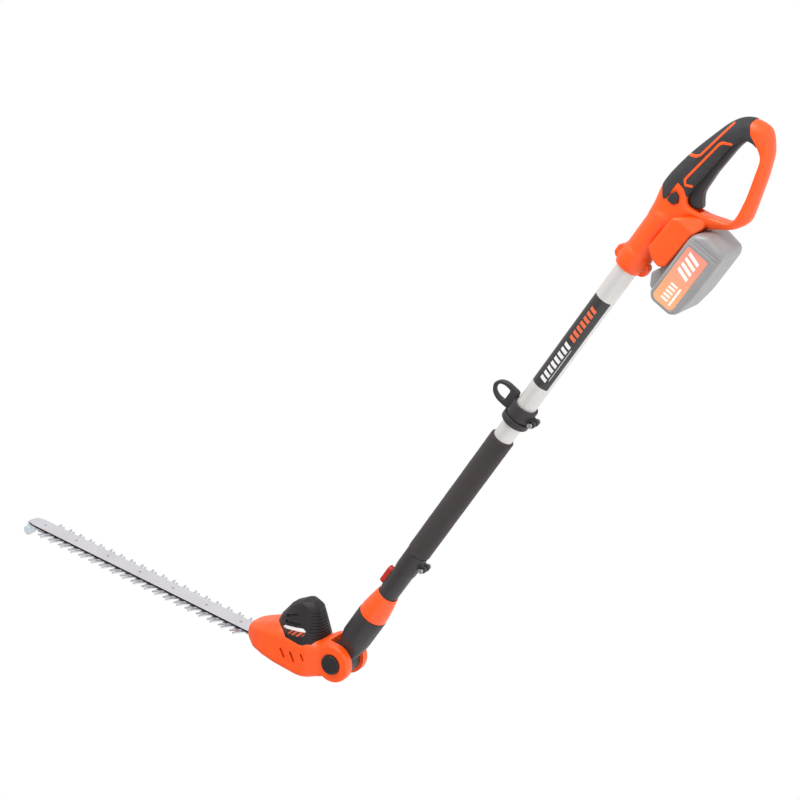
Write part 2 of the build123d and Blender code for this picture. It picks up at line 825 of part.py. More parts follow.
def blade_screws():
    """Shouldered screws with washers under the blades."""
    screws = None
    low = lower_blade_low()
    for b in blade_screw_places():
        shank = rod_z(b, 0, low - 3.4, bar_top_n - 0.4, blade_screw_r)
        washer = rod_z(b, 0, low - 1.5, low - 0.3, 6.0)
        head = rod_z(b, 0, low - 3.6, low - 1.5, 4.2)
        screw = shank + washer + head
        screws = screw if screws is None else screws + screw
    return screws


def tooth(b, side):
    """One hooked tooth leaning towards the blade's tip."""
    root = 12.0
    points = [(b - 13.5, root), (b - 8.0, 17.5), (b - 1.6, tooth_reach), (b + 1.0, tooth_reach - 0.6)]
    points += [(b - 1.5, 17.0), (b + 0.5, root)]
    return [(x, side * y) for x, y in points]


def blade_outline():
    """Both edges with their teeth, tip to root and back."""
    tips = [tooth_tip_b - tooth_pitch * k for k in range(tooth_count)]
    left = [(tooth_tip_b + 26, 6), (tooth_tip_b + 19, 16.5), (tooth_tip_b + 8, 13)]
    for b in tips:
        left += list(reversed(tooth(b, 1)))
    left += [(150, 12), (140, 19), (78, 19)]
    return left


def blade(low, high, shift):
    """One reciprocating blade with its yoke window and screw slots."""
    plate = top_plate(mirrored(blade_outline()), low, high)
    reach = crank_throw + crank_pin_r
    travel = crank_throw + blade_offset
    long_half = reach + travel + 0.6
    wide_half = reach + 0.6
    window = block(gear_b - long_half, gear_b + long_half, -wide_half, wide_half, low - 1, high + 1)
    plate = plate - window
    for b in blade_screw_places():
        slot = SlotOverall(2 * (travel + blade_screw_r + 0.8), 2 * (blade_screw_r + 0.35))
        plate = plate - extrude(Plane(origin=(b, 0, low - 1)) * slot, amount=high - low + 2)
    return Pos(shift, 0, 0) * plate


def tip_guard():
    """Blunt round knob that hangs under the bar's tip."""
    under_bar = bar_top_n - bar_thick
    stem = block(knob_b - 9, knob_b + 1, -7, 7, knob_n, under_bar)
    knob = softened(rod_y(knob_b, knob_n, -knob_r, knob_r, knob_r), 2.5)
    return stem + knob


def pivot_bolt():
    """Bolt with a recess for the tilt button's stem."""
    return rod_y(0, 0, -28.8, 24.2, 6.0) - rod_y(0, 0, 20.5, 24.3, 4.2)


def pivot_cap():
    """Cap on the right-hand end of the pivot bolt."""
    cap = softened(rod_y(0, 0, -32.5, -25.6, 16.0), 1.5)
    return cap - rod_y(0, 0, -28.9, -20, 6.1)


def tilt_button():
    """Round black cap that releases the tilt lock."""
    cap = rod_y(0, 0, 29.6, 35.2, 15.8)
    rim = cap.faces().sort_by(Axis.Y)[-1].edges()
    return fillet(rim, 1.6) + rod_y(0, 0, 24.9, 29.7, 4.0)


def tilt_spring():
    spring = Rot(-90, 0, 0) * coil(0, 0, 0, 6.0, 0.5, 4.0, 3)
    return Pos(0, 25.1, 0) * spring


# ---- write every node ----
handle = handle_body() - handle_cavity() + handle_bosses()
battery = battery_body()
knuckle = knuckle_body()
housing = gear_housing()

save("upper_tube", upper_tube())
save("tube_label", tube_label())
save("foam_grip", foam_grip())
save("coupling_sleeve", coupling_sleeve())
save("coupling_clamp_bolt", coupling_clamp_bolt())
save("coupling_button", coupling_button())
save("button_spring", button_spring())
save("coupling_socket", coupling_socket())
save("pole_cable", pole_cable())
save("strap_collar", strap_collar())
save("strap_bolt", strap_bolt())
save("handle_shell_left", handle_shell(1, handle))
save("handle_shell_right", handle_shell(-1, handle))
save("grip_pad_left", grip_pad(1))
save("grip_pad_right", grip_pad(-1))
save("handle_screws", handle_screws())
save("trigger", trigger())
save("trigger_pin", trigger_pin())
save("trigger_switch", trigger_switch())
save("trigger_spring", trigger_spring())
save("control_board", control_board())
save("lock_off_button", lock_off_button())
save("lock_off_spring", lock_off_spring())
save("battery_terminals", battery_terminals())
save("battery_case_lower", battery_case_lower(battery))
save("battery_case_upper", battery_case_upper(battery))
save("battery_latch", battery_latch())
save("latch_spring", latch_spring())
save("battery_cells", battery_cells())
save("battery_screws", battery_screws())
save("lock_collar", lock_collar())
save("knuckle_spigot", knuckle_spigot())
save("knuckle_left", knuckle_half(knuckle, 1))
save("knuckle_right", knuckle_half(knuckle, -1))
save("knuckle_screws", knuckle_screws())
save("spigot_plug", spigot_plug())
save("head_cable", head_cable())
save("gear_housing_left", in_head(housing_half(housing, 1)))
save("gear_housing_right", in_head(housing_half(housing, -1)))
save("housing_screws", in_head(head_screws()))
save("motor_cover", in_head(motor_cover()))
save("motor_can", in_head(motor_can()))
save("motor_magnets", in_head(motor_magnets()))
save("motor_bearings", in_head(motor_bearings()))
save("motor_rotor", in_head(motor_rotor()))
save("fan_disc", in_head(fan_disc()))
save("motor_pinion", in_head(motor_pinion()))
save("drive_gear", in_head(drive_gear()))
save("crankshaft", in_head(crankshaft()))
save("gearbox_plate", in_head(gearbox_plate()))
save("gear_bearings", in_head(gear_bearings()))
save("blade_guide_bar", in_head(blade_guide_bar()))
save("blade_screws", in_head(blade_screws()))
save("blade_upper", in_head(blade(upper_blade_low(), upper_blade_high(), blade_offset)))
save("blade_lower", in_head(blade(lower_blade_low(), lower_blade_high(), -blade_offset)))
save("tip_guard", in_head(tip_guard()))
save("pivot_bolt", in_head(pivot_bolt()))
save("pivot_cap", in_head(pivot_cap()))
save("tilt_button", in_head(tilt_button()))
save("tilt_spring", in_head(tilt_spring()))
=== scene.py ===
import json
from math import ceil, cos, pi, radians, sin

import bmesh
import bpy
import numpy as np
from mathutils import Matrix, Vector
from mathutils.bvhtree import BVHTree
from mathutils.geometry import delaunay_2d_cdt


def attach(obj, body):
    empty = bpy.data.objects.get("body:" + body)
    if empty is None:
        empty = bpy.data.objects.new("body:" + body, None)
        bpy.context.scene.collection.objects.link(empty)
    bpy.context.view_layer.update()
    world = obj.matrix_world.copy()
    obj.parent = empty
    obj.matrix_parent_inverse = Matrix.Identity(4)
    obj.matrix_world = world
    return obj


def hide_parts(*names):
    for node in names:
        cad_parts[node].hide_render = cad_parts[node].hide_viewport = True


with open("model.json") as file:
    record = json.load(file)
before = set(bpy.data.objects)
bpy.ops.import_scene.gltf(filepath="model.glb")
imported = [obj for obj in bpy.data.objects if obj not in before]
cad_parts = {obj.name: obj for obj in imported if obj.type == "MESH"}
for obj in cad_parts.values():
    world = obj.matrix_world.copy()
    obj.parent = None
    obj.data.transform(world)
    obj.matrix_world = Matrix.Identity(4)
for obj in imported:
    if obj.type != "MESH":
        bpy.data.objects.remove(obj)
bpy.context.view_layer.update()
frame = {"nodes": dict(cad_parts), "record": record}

# Cordless pole hedge trimmer. Sizes are in millimetres, and MM turns them into the scene's
# metres. X runs along the pole towards the head, Y to the operator's left, Z is up with the
# grip on top. The head's pieces are drawn level around its pivot, then tilted by HEAD: there,
# b is the distance along the blade and n the height towards the motor cover. Outlines are
# drawn seen from the side, as (x, z) or (b, n), and relief() gives them their thickness in y.
MM = 0.001
PIVOT_X = 700.0
HEAD_TILT = 66.7
HEAD = Matrix.Translation((PIVOT_X, 0, 0)) @ Matrix.Rotation(radians(-HEAD_TILT), 4, "Y")
LEVEL = Matrix.Identity(4)
UPRIGHT = Matrix(((1, 0, 0, 0), (0, 0, 1, 0), (0, 1, 0, 0), (0, 0, 0, 1)))
nodes = frame["nodes"]


# ---------------------------------------------------------------- camera and light
CAMERA_AT = Vector((-991.5, 2014.2, -498.8)) * MM
VIEW_BACK = Vector((-0.514, 0.815, -0.266))
VIEW_UP = Vector((-0.710, -0.230, 0.665))
CAMERA_LENS = 75.8
FLOOR_Z = -1.35
FLOOR_HALF = 9.0


def add_to_scene(made):
    bpy.context.scene.collection.objects.link(made)


def make_camera():
    data = bpy.data.cameras.new("camera")
    data.lens = CAMERA_LENS
    data.sensor_width = 36.0
    data.clip_end = 50.0
    camera = bpy.data.objects.new("camera", data)
    back = VIEW_BACK.normalized()
    right = VIEW_UP.cross(back).normalized()
    up = back.cross(right)
    turn = Matrix((right, up, back)).transposed().to_4x4()
    camera.matrix_world = Matrix.Translation(CAMERA_AT) @ turn
    add_to_scene(camera)
    bpy.context.scene.camera = camera
    return right, up, back


def area_light(name, place, aim, size, power):
    data = bpy.data.lights.new(name, "AREA")
    data.shape = "RECTANGLE"
    data.size, data.size_y = size
    data.energy = power
    light = bpy.data.objects.new(name, data)
    light.location = place
    light.rotation_euler = (aim - place).to_track_quat("-Z", "Y").to_euler()
    add_to_scene(light)


def make_world(up):
    """White to the camera; for light and reflections, dimmer away from the picture's top."""
    world = bpy.data.worlds.new("world")
    world.use_nodes = True
    t = Tree(world.node_tree)
    seen = t.tree.nodes["Background"]
    seen.inputs["Color"].default_value = (1, 1, 1, 1)
    lighting = t.add("Background")
    facing = t.add("VectorMath", "DOT_PRODUCT")
    facing.inputs[1].default_value = -up
    t.link(t.add("NewGeometry").outputs["Incoming"], facing.inputs[0])
    ramp = t.add("ValToRGB")
    dim, bright = ramp.color_ramp.elements
    dim.position, dim.color = 0.15, (0.30, 0.30, 0.31, 1)
    bright.position, bright.color = 0.75, (0.92, 0.92, 0.93, 1)
    t.link(t.math("MULTIPLY_ADD", facing.outputs["Value"], 0.5, 0.5), ramp.inputs[0])
    t.link(ramp.outputs[0], lighting.inputs["Color"])
    mix = t.add("MixShader")
    t.link(t.add("LightPath").outputs["Is Camera Ray"], mix.inputs[0])
    t.link(lighting.outputs[0], mix.inputs[1])
    t.link(seen.outputs[0], mix.inputs[2])
    t.link(mix.outputs[0], t.tree.nodes["World Output"].inputs["Surface"])
    bpy.context.scene.world = world


def make_floor():
    h = FLOOR_HALF
    mesh = bpy.data.meshes.new("floor")
    corners = [(-h, -h, FLOOR_Z), (h, -h, FLOOR_Z), (h, h, FLOOR_Z), (-h, h, FLOOR_Z)]
    mesh.from_pydata(corners, [], [(0, 1, 2, 3)])
    floor = bpy.data.objects.new("floor", mesh)
    add_to_scene(floor)
    material = bpy.data.materials.new("floor")
    material.use_nodes = True
    shader = material.node_tree.nodes["Principled BSDF"]
    shader.inputs["Base Color"].default_value = (0.82, 0.82, 0.82, 1)
    shader.inputs["Roughness"].default_value = 0.9
    shader.inputs["Emission Color"].default_value = (1, 1, 1, 1)
    shader.inputs["Emission Strength"].default_value = 0.45
    mesh.materials.append(material)


# ---------------------------------------------------------------- materials
class Tree:
    """Short names for adding shader nodes to one tree."""

    def __init__(self, tree):
        self.tree = tree

    def add(self, kind, operation=None):
        node = self.tree.nodes.new("ShaderNode" + kind)
        if operation:
            node.operation = operation
        return node

    def link(self, out, into):
        self.tree.links.new(out, into)

    def math(self, operation, a, b=0.0, c=0.0):
        node = self.add("Math", operation)
        for socket, value in zip(node.inputs, (a, b, c)):
            if isinstance(value, (int, float)):
                socket.default_value = value
            else:
                self.link(value, socket)
        return node.outputs[0]


MATERIALS = {}


class Nodes(Tree):
    """The nodes of one new material."""

    def __init__(self, name):
        self.name = name
        self.material = bpy.data.materials.new(name)
        self.material.use_nodes = True
        super().__init__(self.material.node_tree)
        self.shader = self.tree.nodes["Principled BSDF"]
        self.place = self.add("TexCoord").outputs["Object"]

    def split(self, vector):
        node = self.add("SeparateXYZ")
        self.link(vector, node.inputs[0])
        return tuple(node.outputs)

    def noise(self, scale, detail=2.0, stretch=(1, 1, 1)):
        mapping = self.add("Mapping")
        mapping.inputs["Scale"].default_value = stretch
        self.link(self.place, mapping.inputs["Vector"])
        node = self.add("TexNoise")
        node.inputs["Scale"].default_value = scale
        node.inputs["Detail"].default_value = detail
        self.link(mapping.outputs[0], node.inputs["Vector"])
        return node.outputs["Fac"]

    def spread(self, value, low, high, out_low, out_high):
        node = self.add("MapRange")
        self.link(value, node.inputs["Value"])
        limits = {"From Min": low, "From Max": high, "To Min": out_low, "To Max": out_high}
        for name, number in limits.items():
            node.inputs[name].default_value = number
        return node.outputs[0]

    def cloud(self, scale, detail, low, high):
        """Noise that wanders between two values."""
        return self.spread(self.noise(scale, detail), 0.3, 0.7, low, high)

    def mix(self, share, a, b):
        node = self.add("Mix")
        node.data_type = "RGBA"
        for socket, value in ((node.inputs[0], share), (node.inputs[6], a), (node.inputs[7], b)):
            if isinstance(value, (tuple, float, int)):
                socket.default_value = value
            else:
                self.link(value, socket)
        return node.outputs[2]

    def worn(self, colour, pale, amount):
        """Paler along the outer edges, broken up by noise."""
        bevel = self.add("Bevel")
        bevel.samples = 3
        bevel.inputs["Radius"].default_value = 0.9 * MM
        plain = self.add("NewGeometry")
        facing = self.add("VectorMath", "DOT_PRODUCT")
        self.link(bevel.outputs[0], facing.inputs[0])
        self.link(plain.outputs["Normal"], facing.inputs[1])
        edge = self.spread(facing.outputs["Value"], 0.99, 0.86, 0.0, amount)
        patchy = self.spread(self.noise(140), 0.35, 0.65, 0.35, 1.0)
        return self.mix(self.math("MULTIPLY", edge, patchy), colour, pale)

    def bump(self, height, depth):
        node = self.add("Bump")
        node.inputs["Distance"].default_value = depth * MM
        node.inputs["Strength"].default_value = 1.0
        self.link(height, node.inputs["Height"])
        self.link(node.outputs[0], self.shader.inputs["Normal"])

    def finish(self, colour, roughness):
        self.link(colour, self.shader.inputs["Base Color"])
        self.link(roughness, self.shader.inputs["Roughness"])
        MATERIALS[self.name] = self.material


WORN_BLACK = (0.12, 0.115, 0.115, 1)


def linear(red, green, blue):
    """A colour given as it looks, 0 to 255, as the shader wants it."""
    parts = [c / 255 for c in (red, green, blue)]
    return tuple(c / 12.92 if c <= 0.04045 else ((c + 0.055) / 1.055) ** 2.4 for c in parts) + (1.0,)


def shade(colour, factor):
    return tuple(min(1.0, c * factor) for c in colour[:3]) + (1.0,)


def plastic(name, colour, rough, grain=0.03, grain_scale=1500, wear=0.25, shine=0.5):
    """Moulded plastic: spark-eroded grain, slight mottling and paler worn edges."""
    n = Nodes(name)
    cloudy = n.cloud(22, 3, 0.0, 1.0)
    base = n.mix(cloudy, shade(colour, 0.93), shade(colour, 1.07))
    base = n.worn(base, shade(colour, 1.5) if colour[0] > 0.2 else WORN_BLACK, wear)
    roughness = n.cloud(60, 3, rough - 0.05, rough + 0.06)
    n.bump(n.noise(grain_scale, 2), grain)
    n.shader.inputs["Specular IOR Level"].default_value = shine
    n.finish(base, roughness)


def rubber(name, colour):
    """Soft overmould: close dimples and a dull, slightly dusty face."""
    n = Nodes(name)
    cells = n.add("TexVoronoi")
    cells.inputs["Scale"].default_value = 900
    n.link(n.place, cells.inputs["Vector"])
    dust = n.spread(n.noise(45, 4), 0.35, 0.75, 0.0, 0.5)
    base = n.mix(dust, colour, shade(colour, 1.5))
    base = n.worn(base, (0.10, 0.10, 0.10, 1), 0.3)
    n.bump(cells.outputs["Distance"], 0.10)
    n.shader.inputs["Specular IOR Level"].default_value = 0.3
    n.finish(base, n.cloud(80, 2, 0.64, 0.76))


def foam_material(name, colour):
    """Closed-cell foam: pores of two sizes with painted shade darkening their pits, and a skin that scuffs
    lighter.
    """
    n = Nodes(name)
    pores = n.add("TexVoronoi")
    pores.inputs["Scale"].default_value = 620
    n.link(n.place, pores.inputs["Vector"])
    fine = n.noise(2400, 3)
    height = n.math("MULTIPLY_ADD", fine, 0.5, n.spread(pores.outputs["Distance"], 0.0, 0.6, 0.0, 1.0))
    scuff = n.spread(n.noise(26, 5, (0.4, 1, 1)), 0.45, 0.8, 0.0, 0.45)
    base = n.mix(scuff, colour, shade(colour, 1.45))
    # painted shade: the colour sinks towards half its brightness at the middle of each pore, standing in
    # for the shade inside the pits
    base = n.mix(n.spread(pores.outputs["Distance"], 0.0, 0.25, 0.5, 0.0), base, shade(colour, 0.5))
    n.bump(height, 0.22)
    n.shader.inputs["Sheen Weight"].default_value = 0.1
    n.shader.inputs["Specular IOR Level"].default_value = 0.3
    n.finish(base, n.spread(fine, 0.3, 0.7, 0.82, 0.95))


def metal(name, colour, rough, stretch, scale=260, depth=0.006, painted_side_shade=False, metallic=1.0):
    """Drawn, ground or machined metal, with its scratches along one direction. When asked, the faces
    towards +Y and -Y are also painted dark: painted shade for the bar's shadowed edge."""
    n = Nodes(name)
    lines = n.noise(scale, 4, stretch)
    cloudy = n.cloud(18, 3, 0.0, 1.0)
    base = n.mix(cloudy, shade(colour, 0.95), shade(colour, 1.04))
    base = n.mix(n.spread(lines, 0.35, 0.7, 0.0, 0.12), base, shade(colour, 0.85))
    if painted_side_shade:
        # painted shade: faces turned towards +Y or -Y get a dark colour that stands in for the shadow along
        # the bar's edge
        sideways = n.math("ABSOLUTE", n.split(n.place.node.outputs["Normal"])[1])
        base = n.mix(n.math("GREATER_THAN", sideways, 0.6), base, linear(52, 48, 50))
    n.bump(lines, depth)
    n.shader.inputs["Metallic"].default_value = metallic
    n.finish(base, n.spread(lines, 0.3, 0.7, rough - 0.04, rough + 0.05))


def band(n, value, low, high):
    """1 where value is between low and high."""
    return n.math("MULTIPLY", n.math("GREATER_THAN", value, low), n.math("LESS_THAN", value, high))


def slanted_bars(n, along, across, start, end, pitch, width, lean, half_height):
    """A row of leaning bars between start and end."""
    leaning = n.math("MULTIPLY_ADD", across, lean, along)
    phase = n.math("MODULO", n.math("SUBTRACT", leaning, start), pitch)
    bar = band(n, phase, 0.12 * width, width)
    inside = n.math("MULTIPLY", band(n, leaning, start, end), band(n, across, -half_height, half_height))
    return n.math("MULTIPLY", bar, inside)


def tube_label_material():
    """Black film with a row of plain white bars over a thin rule, then orange ones."""
    n = Nodes("label_film")
    x, y, z = n.split(n.place)
    turn = n.math("SUBTRACT", n.math("ARCTAN2", z, y), -0.04)
    across = n.math("MULTIPLY", turn, 15.2 * MM)
    white = slanted_bars(n, x, across, 18 * MM, 86 * MM, 8.8 * MM, 6.2 * MM, 0.25, 5.2 * MM)
    orange = slanted_bars(n, x, across, -47 * MM, 11 * MM, 8.6 * MM, 6.2 * MM, 0.25, 5.2 * MM)
    rule = n.math("MULTIPLY", band(n, across, -8.8 * MM, -7.8 * MM), band(n, x, 24 * MM, 82 * MM))
    base = n.mix(n.cloud(30, 3, 0.0, 1.0), linear(44, 42, 42), linear(52, 50, 50))
    base = n.mix(white, base, linear(226, 224, 222))
    base = n.mix(orange, base, linear(222, 104, 62))
    base = n.mix(rule, base, linear(200, 200, 200))
    n.bump(n.noise(900), 0.01)
    n.finish(base, n.cloud(50, 2, 0.32, 0.42))


def battery_label_material():
    """Pale gradient from pink to light orange with plain white bars."""
    n = Nodes("battery_label")
    x, _, z = n.split(n.place)
    along = n.spread(x, -212 * MM, -123 * MM, 0.0, 1.0)
    base = n.mix(along, linear(222, 130, 117), linear(236, 170, 116))
    base = n.mix(n.spread(n.noise(40, 3), 0.35, 0.7, 0.0, 0.35), base, linear(242, 164, 138))
    level = n.math("SUBTRACT", z, -72.5 * MM)
    wide = slanted_bars(n, x, level, -203 * MM, -170 * MM, 8.2 * MM, 5.6 * MM, 0.3, 9.5 * MM)
    small = slanted_bars(n, x, level, -158 * MM, -130 * MM, 5.6 * MM, 3.6 * MM, 0.0, 5.5 * MM)
    under = n.math("MULTIPLY", band(n, level, -11.5 * MM, -8.5 * MM), band(n, x, -158 * MM, -130 * MM))
    base = n.mix(n.math("MAXIMUM", n.math("MAXIMUM", wide, small), under), base, linear(244, 232, 226))
    n.bump(n.noise(900), 0.01)
    n.finish(base, n.cloud(50, 2, 0.38, 0.46))


def badge_material():
    """Plain two-colour flash for the motor cover."""
    n = Nodes("cover_badge")
    into = n.add("VectorRotate")
    into.rotation_type = "Y_AXIS"
    into.inputs["Center"].default_value = (PIVOT_X * MM, 0, 0)
    into.inputs["Angle"].default_value = radians(HEAD_TILT)
    n.link(n.place, into.inputs["Vector"])
    x, _, up = n.split(into.outputs[0])
    b = n.math("SUBTRACT", x, PIVOT_X * MM)
    edge = n.math("MULTIPLY_ADD", b, 0.20, up)
    white = n.math("GREATER_THAN", edge, 43.5 * MM)
    stripes = slanted_bars(n, b, up, 52 * MM, 100 * MM, 7.5 * MM, 4.6 * MM, 0.8, 60 * MM)
    base = n.mix(stripes, linear(60, 40, 36), linear(208, 88, 52))
    base = n.mix(white, base, linear(226, 220, 218))
    n.bump(n.noise(900), 0.01)
    n.finish(base, n.cloud(50, 2, 0.3, 0.4))


def make_materials():
    """One for each slot of the record, and three more: the motor cover's plastic and the
    labels on the battery and the cover."""
    along_x = (0.05, 1, 1)
    along_y = (1, 0.04, 1)
    even = (1, 1, 1)
    plastic("orange_plastic", linear(250, 84, 12), 0.40, wear=0.18)
    plastic("black_plastic", linear(52, 49, 50), 0.45, shine=0.3)
    plastic("cover_black", linear(40, 36, 38), 0.50, 0.05, 1100, shine=0.25)
    rubber("soft_black", linear(50, 50, 52))
    plastic("inner_plastic", linear(62, 59, 60), 0.55)
    plastic("red_plastic", linear(180, 30, 18), 0.35)
    plastic("grey_plastic", linear(143, 141, 141), 0.42, wear=0.15)
    plastic("guard_plastic", linear(192, 203, 210), 0.25, wear=0.1)
    foam_material("grip_foam", linear(58, 52, 52))
    rubber("cable_rubber", linear(38, 38, 38))
    plastic("cell_wrap", linear(60, 110, 150), 0.35)
    plastic("board_green", linear(30, 90, 55), 0.45)
    metal("pole_aluminium", linear(207, 204, 201), 0.42, along_x, metallic=0.35)
    metal("blade_steel", linear(206, 205, 209), 0.30, along_y, depth=0.001)
    metal("bar_steel", linear(222, 219, 224), 0.32, along_y, depth=0.001, painted_side_shade=True)
    metal("zinc_steel", linear(190, 190, 186), 0.35, even)
    metal("spring_steel", linear(150, 150, 152), 0.30, even)
    metal("gear_steel", linear(150, 148, 145), 0.32, even)
    metal("rotor_steel", linear(130, 120, 112), 0.4, even)
    metal("cast_plate", linear(160, 160, 160), 0.5, even, scale=120, depth=0.05)
    metal("bronze", linear(176, 134, 84), 0.35, even)
    plastic("magnet", linear(58, 58, 62), 0.5)
    tube_label_material()
    battery_label_material()
    badge_material()


# ---------------------------------------------------------------- outlines and meshes
def rounded(points, radius, steps=4):
    """A closed outline with each corner cut back by up to radius and bent."""
    result = []
    for i, point in enumerate(points):
        corner = Vector(point)
        before = Vector(points[i - 1]) - corner
        after = Vector(points[(i + 1) % len(points)]) - corner
        start = corner + before.normalized() * min(radius, 0.45 * before.length)
        end = corner + after.normalized() * min(radius, 0.45 * after.length)
        for k in range(steps + 1):
            t = k / steps
            result.append(start * (1 - t) ** 2 + corner * 2 * t * (1 - t) + end * t * t)
    return result


def spaced(ring, step):
    """The same closed outline with points no more than a step apart."""
    result = []
    for a, b in zip(ring, ring[1:] + ring[:1]):
        length = (b - a).length
        if length < 0.02:
            continue
        count = max(1, ceil(length / step))
        result += [a.lerp(b, k / count) for k in range(count)]
    return np.array([tuple(p) for p in result])


def outline(points, radius, step=2.0):
    """A rounded outline, and its points spaced for measuring from."""
    ring = rounded(points, radius)
    return ring, spaced(ring, step)


def circle(x, z, r, step=2.0):
    count = max(12, ceil(2 * pi * r / step))
    angles = [2 * pi * k / count for k in range(count)]
    return [Vector((x + r * cos(a), z + r * sin(a))) for a in angles]


def edge_distance(points, ring):
    """How far each point is from a closed outline."""
    a = ring[None]
    ab = np.roll(ring, -1, 0)[None] - a
    ap = points[:, None] - a
    share = np.clip((ap * ab).sum(2) / (ab * ab).sum(2), 0, 1)
    return np.sqrt(((ap - share[..., None] * ab) ** 2).sum(2)).min(1)


def within(points, ring):
    """Which points are inside a closed outline."""
    a, b = ring, np.roll(ring, -1, 0)
    x, y = points[:, None, 0], points[:, None, 1]
    crosses = (a[:, 1] > y) != (b[:, 1] > y)
    rise = np.where(np.abs(b[:, 1] - a[:, 1]) < 1e-9, 1e-9, b[:, 1] - a[:, 1])
    at = a[:, 0] + (y - a[:, 1]) * (b[:, 0] - a[:, 0]) / rise
    return (crosses & (x < at)).sum(1) % 2 == 1


def dome(distance, reach, depth):
    """How far a rounded edge lies below the top, at a distance in from the outline."""
    share = np.clip(distance / reach, 0, 1)
    return depth * (1 - np.sqrt(1 - (1 - share) ** 2))


def edged(top, ring, reach, depth):
    """The height of a flat top with a rounded edge along an outline."""
    return lambda points: top - dome(edge_distance(points, ring), reach, depth)


def blend_to(value, start, end):
    """0 below start, 1 above end, smooth between."""
    t = np.clip((value - start) / (end - start), 0, 1)
    return t * t * (3 - 2 * t)


def rise_inside(points, ring, reach):
    """0 outside a closed outline, rising to 1 at a distance in from it."""
    return np.where(within(points, ring), blend_to(edge_distance(points, ring), 0, reach), 0)


def faceted_edge(distance, half):
    """A guard's outer edge: a sloping facet that ends in a small round."""
    slope = 5.0 * np.clip(1 - distance / 8.5, 0, 1)
    return slope + dome(distance, 3.0, half - 6.0)


EDGE_ROWS = (0.25, 0.8, 1.8, 3.4, 5.6, 8.6, 12.0)


def sheet_points(rings, pitch, rows):
    """Points for a height field: rows that follow every outline, and a grid between them."""
    chosen = []
    for ring in rings:
        ahead = np.roll(ring, -1, 0) - np.roll(ring, 1, 0)
        side = np.stack((-ahead[:, 1], ahead[:, 0]), 1)
        side /= np.maximum(np.linalg.norm(side, axis=1), 1e-6)[:, None]
        for row in rows:
            for sign in (1, -1):
                spots = ring + sign * side * row
                near = np.min([edge_distance(spots, r) for r in rings], 0)
                chosen.append(spots[near > 0.93 * row])
    everything = np.concatenate(rings)
    low, high = everything.min(0), everything.max(0)
    u, v = np.meshgrid(np.arange(low[0], high[0], pitch), np.arange(low[1], high[1], pitch * 0.87))
    u[1::2] += pitch / 2
    grid = np.stack((u.ravel(), v.ravel()), 1)
    near = np.min([edge_distance(grid, r) for r in rings], 0)
    chosen.append(grid[near > rows[-1] + 0.5 * pitch])
    return np.concatenate(chosen)


def relief(outlines, height, holes=(), lines=(), floor=0.1, both=False,
           pitch=3.4, step=2.0, rows=EDGE_ROWS):
    """A solid on a flat region, inside all outlines and outside all holes. Its top is
    height(points). Its back is at floor, a number or a function, or with both, it is the top
    mirrored. The lines only guide the mesh along a step or a crease."""
    rings = [spaced(list(r), step) for r in outlines]
    cuts = [spaced(list(r), min(step, 1.5)) for r in holes]
    guides = [spaced(list(r), step) for r in lines]
    fixed = rings + cuts + guides
    points, edges = [], []
    for ring in fixed:
        first = len(points)
        points += [Vector(p) for p in ring]
        edges += [(first + k, first + (k + 1) % len(ring)) for k in range(len(ring))]
    points += [Vector(p) for p in sheet_points(fixed, pitch, rows)]
    flat, _, triangles, *_ = delaunay_2d_cdt(points, edges, [], 0, 0.01)
    flat = np.array([tuple(p) for p in flat])
    triangles = np.array([t for t in triangles if len(t) == 3])
    middle = flat[triangles].mean(1)
    keep = np.ones(len(middle), bool)
    for ring in rings:
        keep &= within(middle, ring)
    for ring in cuts:
        keep &= ~within(middle, ring)
    triangles = triangles[keep]
    top = height(flat)
    bottom = -top if both else floor(flat) if callable(floor) else np.full(len(flat), float(floor))
    top = np.maximum(top, bottom + 0.1)
    mesh = bmesh.new()
    upper = [mesh.verts.new((u, h, v)) for (u, v), h in zip(flat, top)]
    lower = [mesh.verts.new((u, h, v)) for (u, v), h in zip(flat, bottom)]
    border = {}
    for a, b, c in triangles:
        mesh.faces.new((upper[a], upper[b], upper[c]))
        mesh.faces.new((lower[c], lower[b], lower[a]))
        for pair in ((a, b), (b, c), (c, a)):
            key = (min(pair), max(pair))
            border[key] = None if key in border else pair
    for pair in border.values():
        if pair:
            a, b = pair
            mesh.faces.new((upper[b], upper[a], lower[a], lower[b]))
    loose = [v for v in mesh.verts if not v.link_faces]
    bmesh.ops.delete(mesh, geom=loose, context="VERTS")
    return mesh


def turned(profile, sides=72, wobble=None):
    """A closed (along, radius) outline turned about the X axis."""
    mesh = bmesh.new()
    columns = []
    for k in range(sides):
        a = 2 * pi * k / sides
        column = []
        for x, r in profile:
            reach = r + (wobble(x, a) if wobble else 0.0)
            column.append(mesh.verts.new((x, reach * cos(a), reach * sin(a))))
        columns.append(column)
    count = len(profile)
    for one, two in zip(columns, columns[1:] + columns[:1]):
        for i in range(count):
            j = (i + 1) % count
            mesh.faces.new((one[i], one[j], two[j], two[i]))
    bmesh.ops.remove_doubles(mesh, verts=mesh.verts, dist=0.002)
    return mesh


def about_y(mesh):
    """Turns a mesh made along X so that it lies along Y."""
    mesh.transform(Matrix.Rotation(radians(90), 4, "Z"))
    return mesh


def hull(points):
    mesh = bmesh.new()
    for p in points:
        mesh.verts.new(p)
    made = bmesh.ops.convex_hull(mesh, input=mesh.verts)
    inner = [e for e in made["geom_interior"] if isinstance(e, bmesh.types.BMVert)]
    bmesh.ops.delete(mesh, geom=inner, context="VERTS")
    bmesh.ops.dissolve_limit(mesh, angle_limit=radians(2.5), verts=mesh.verts, edges=mesh.edges)
    return mesh


BLOCK_FACES = ((0, 1, 3, 2), (4, 6, 7, 5), (0, 4, 5, 1), (2, 3, 7, 6), (0, 2, 6, 4), (1, 5, 7, 3))


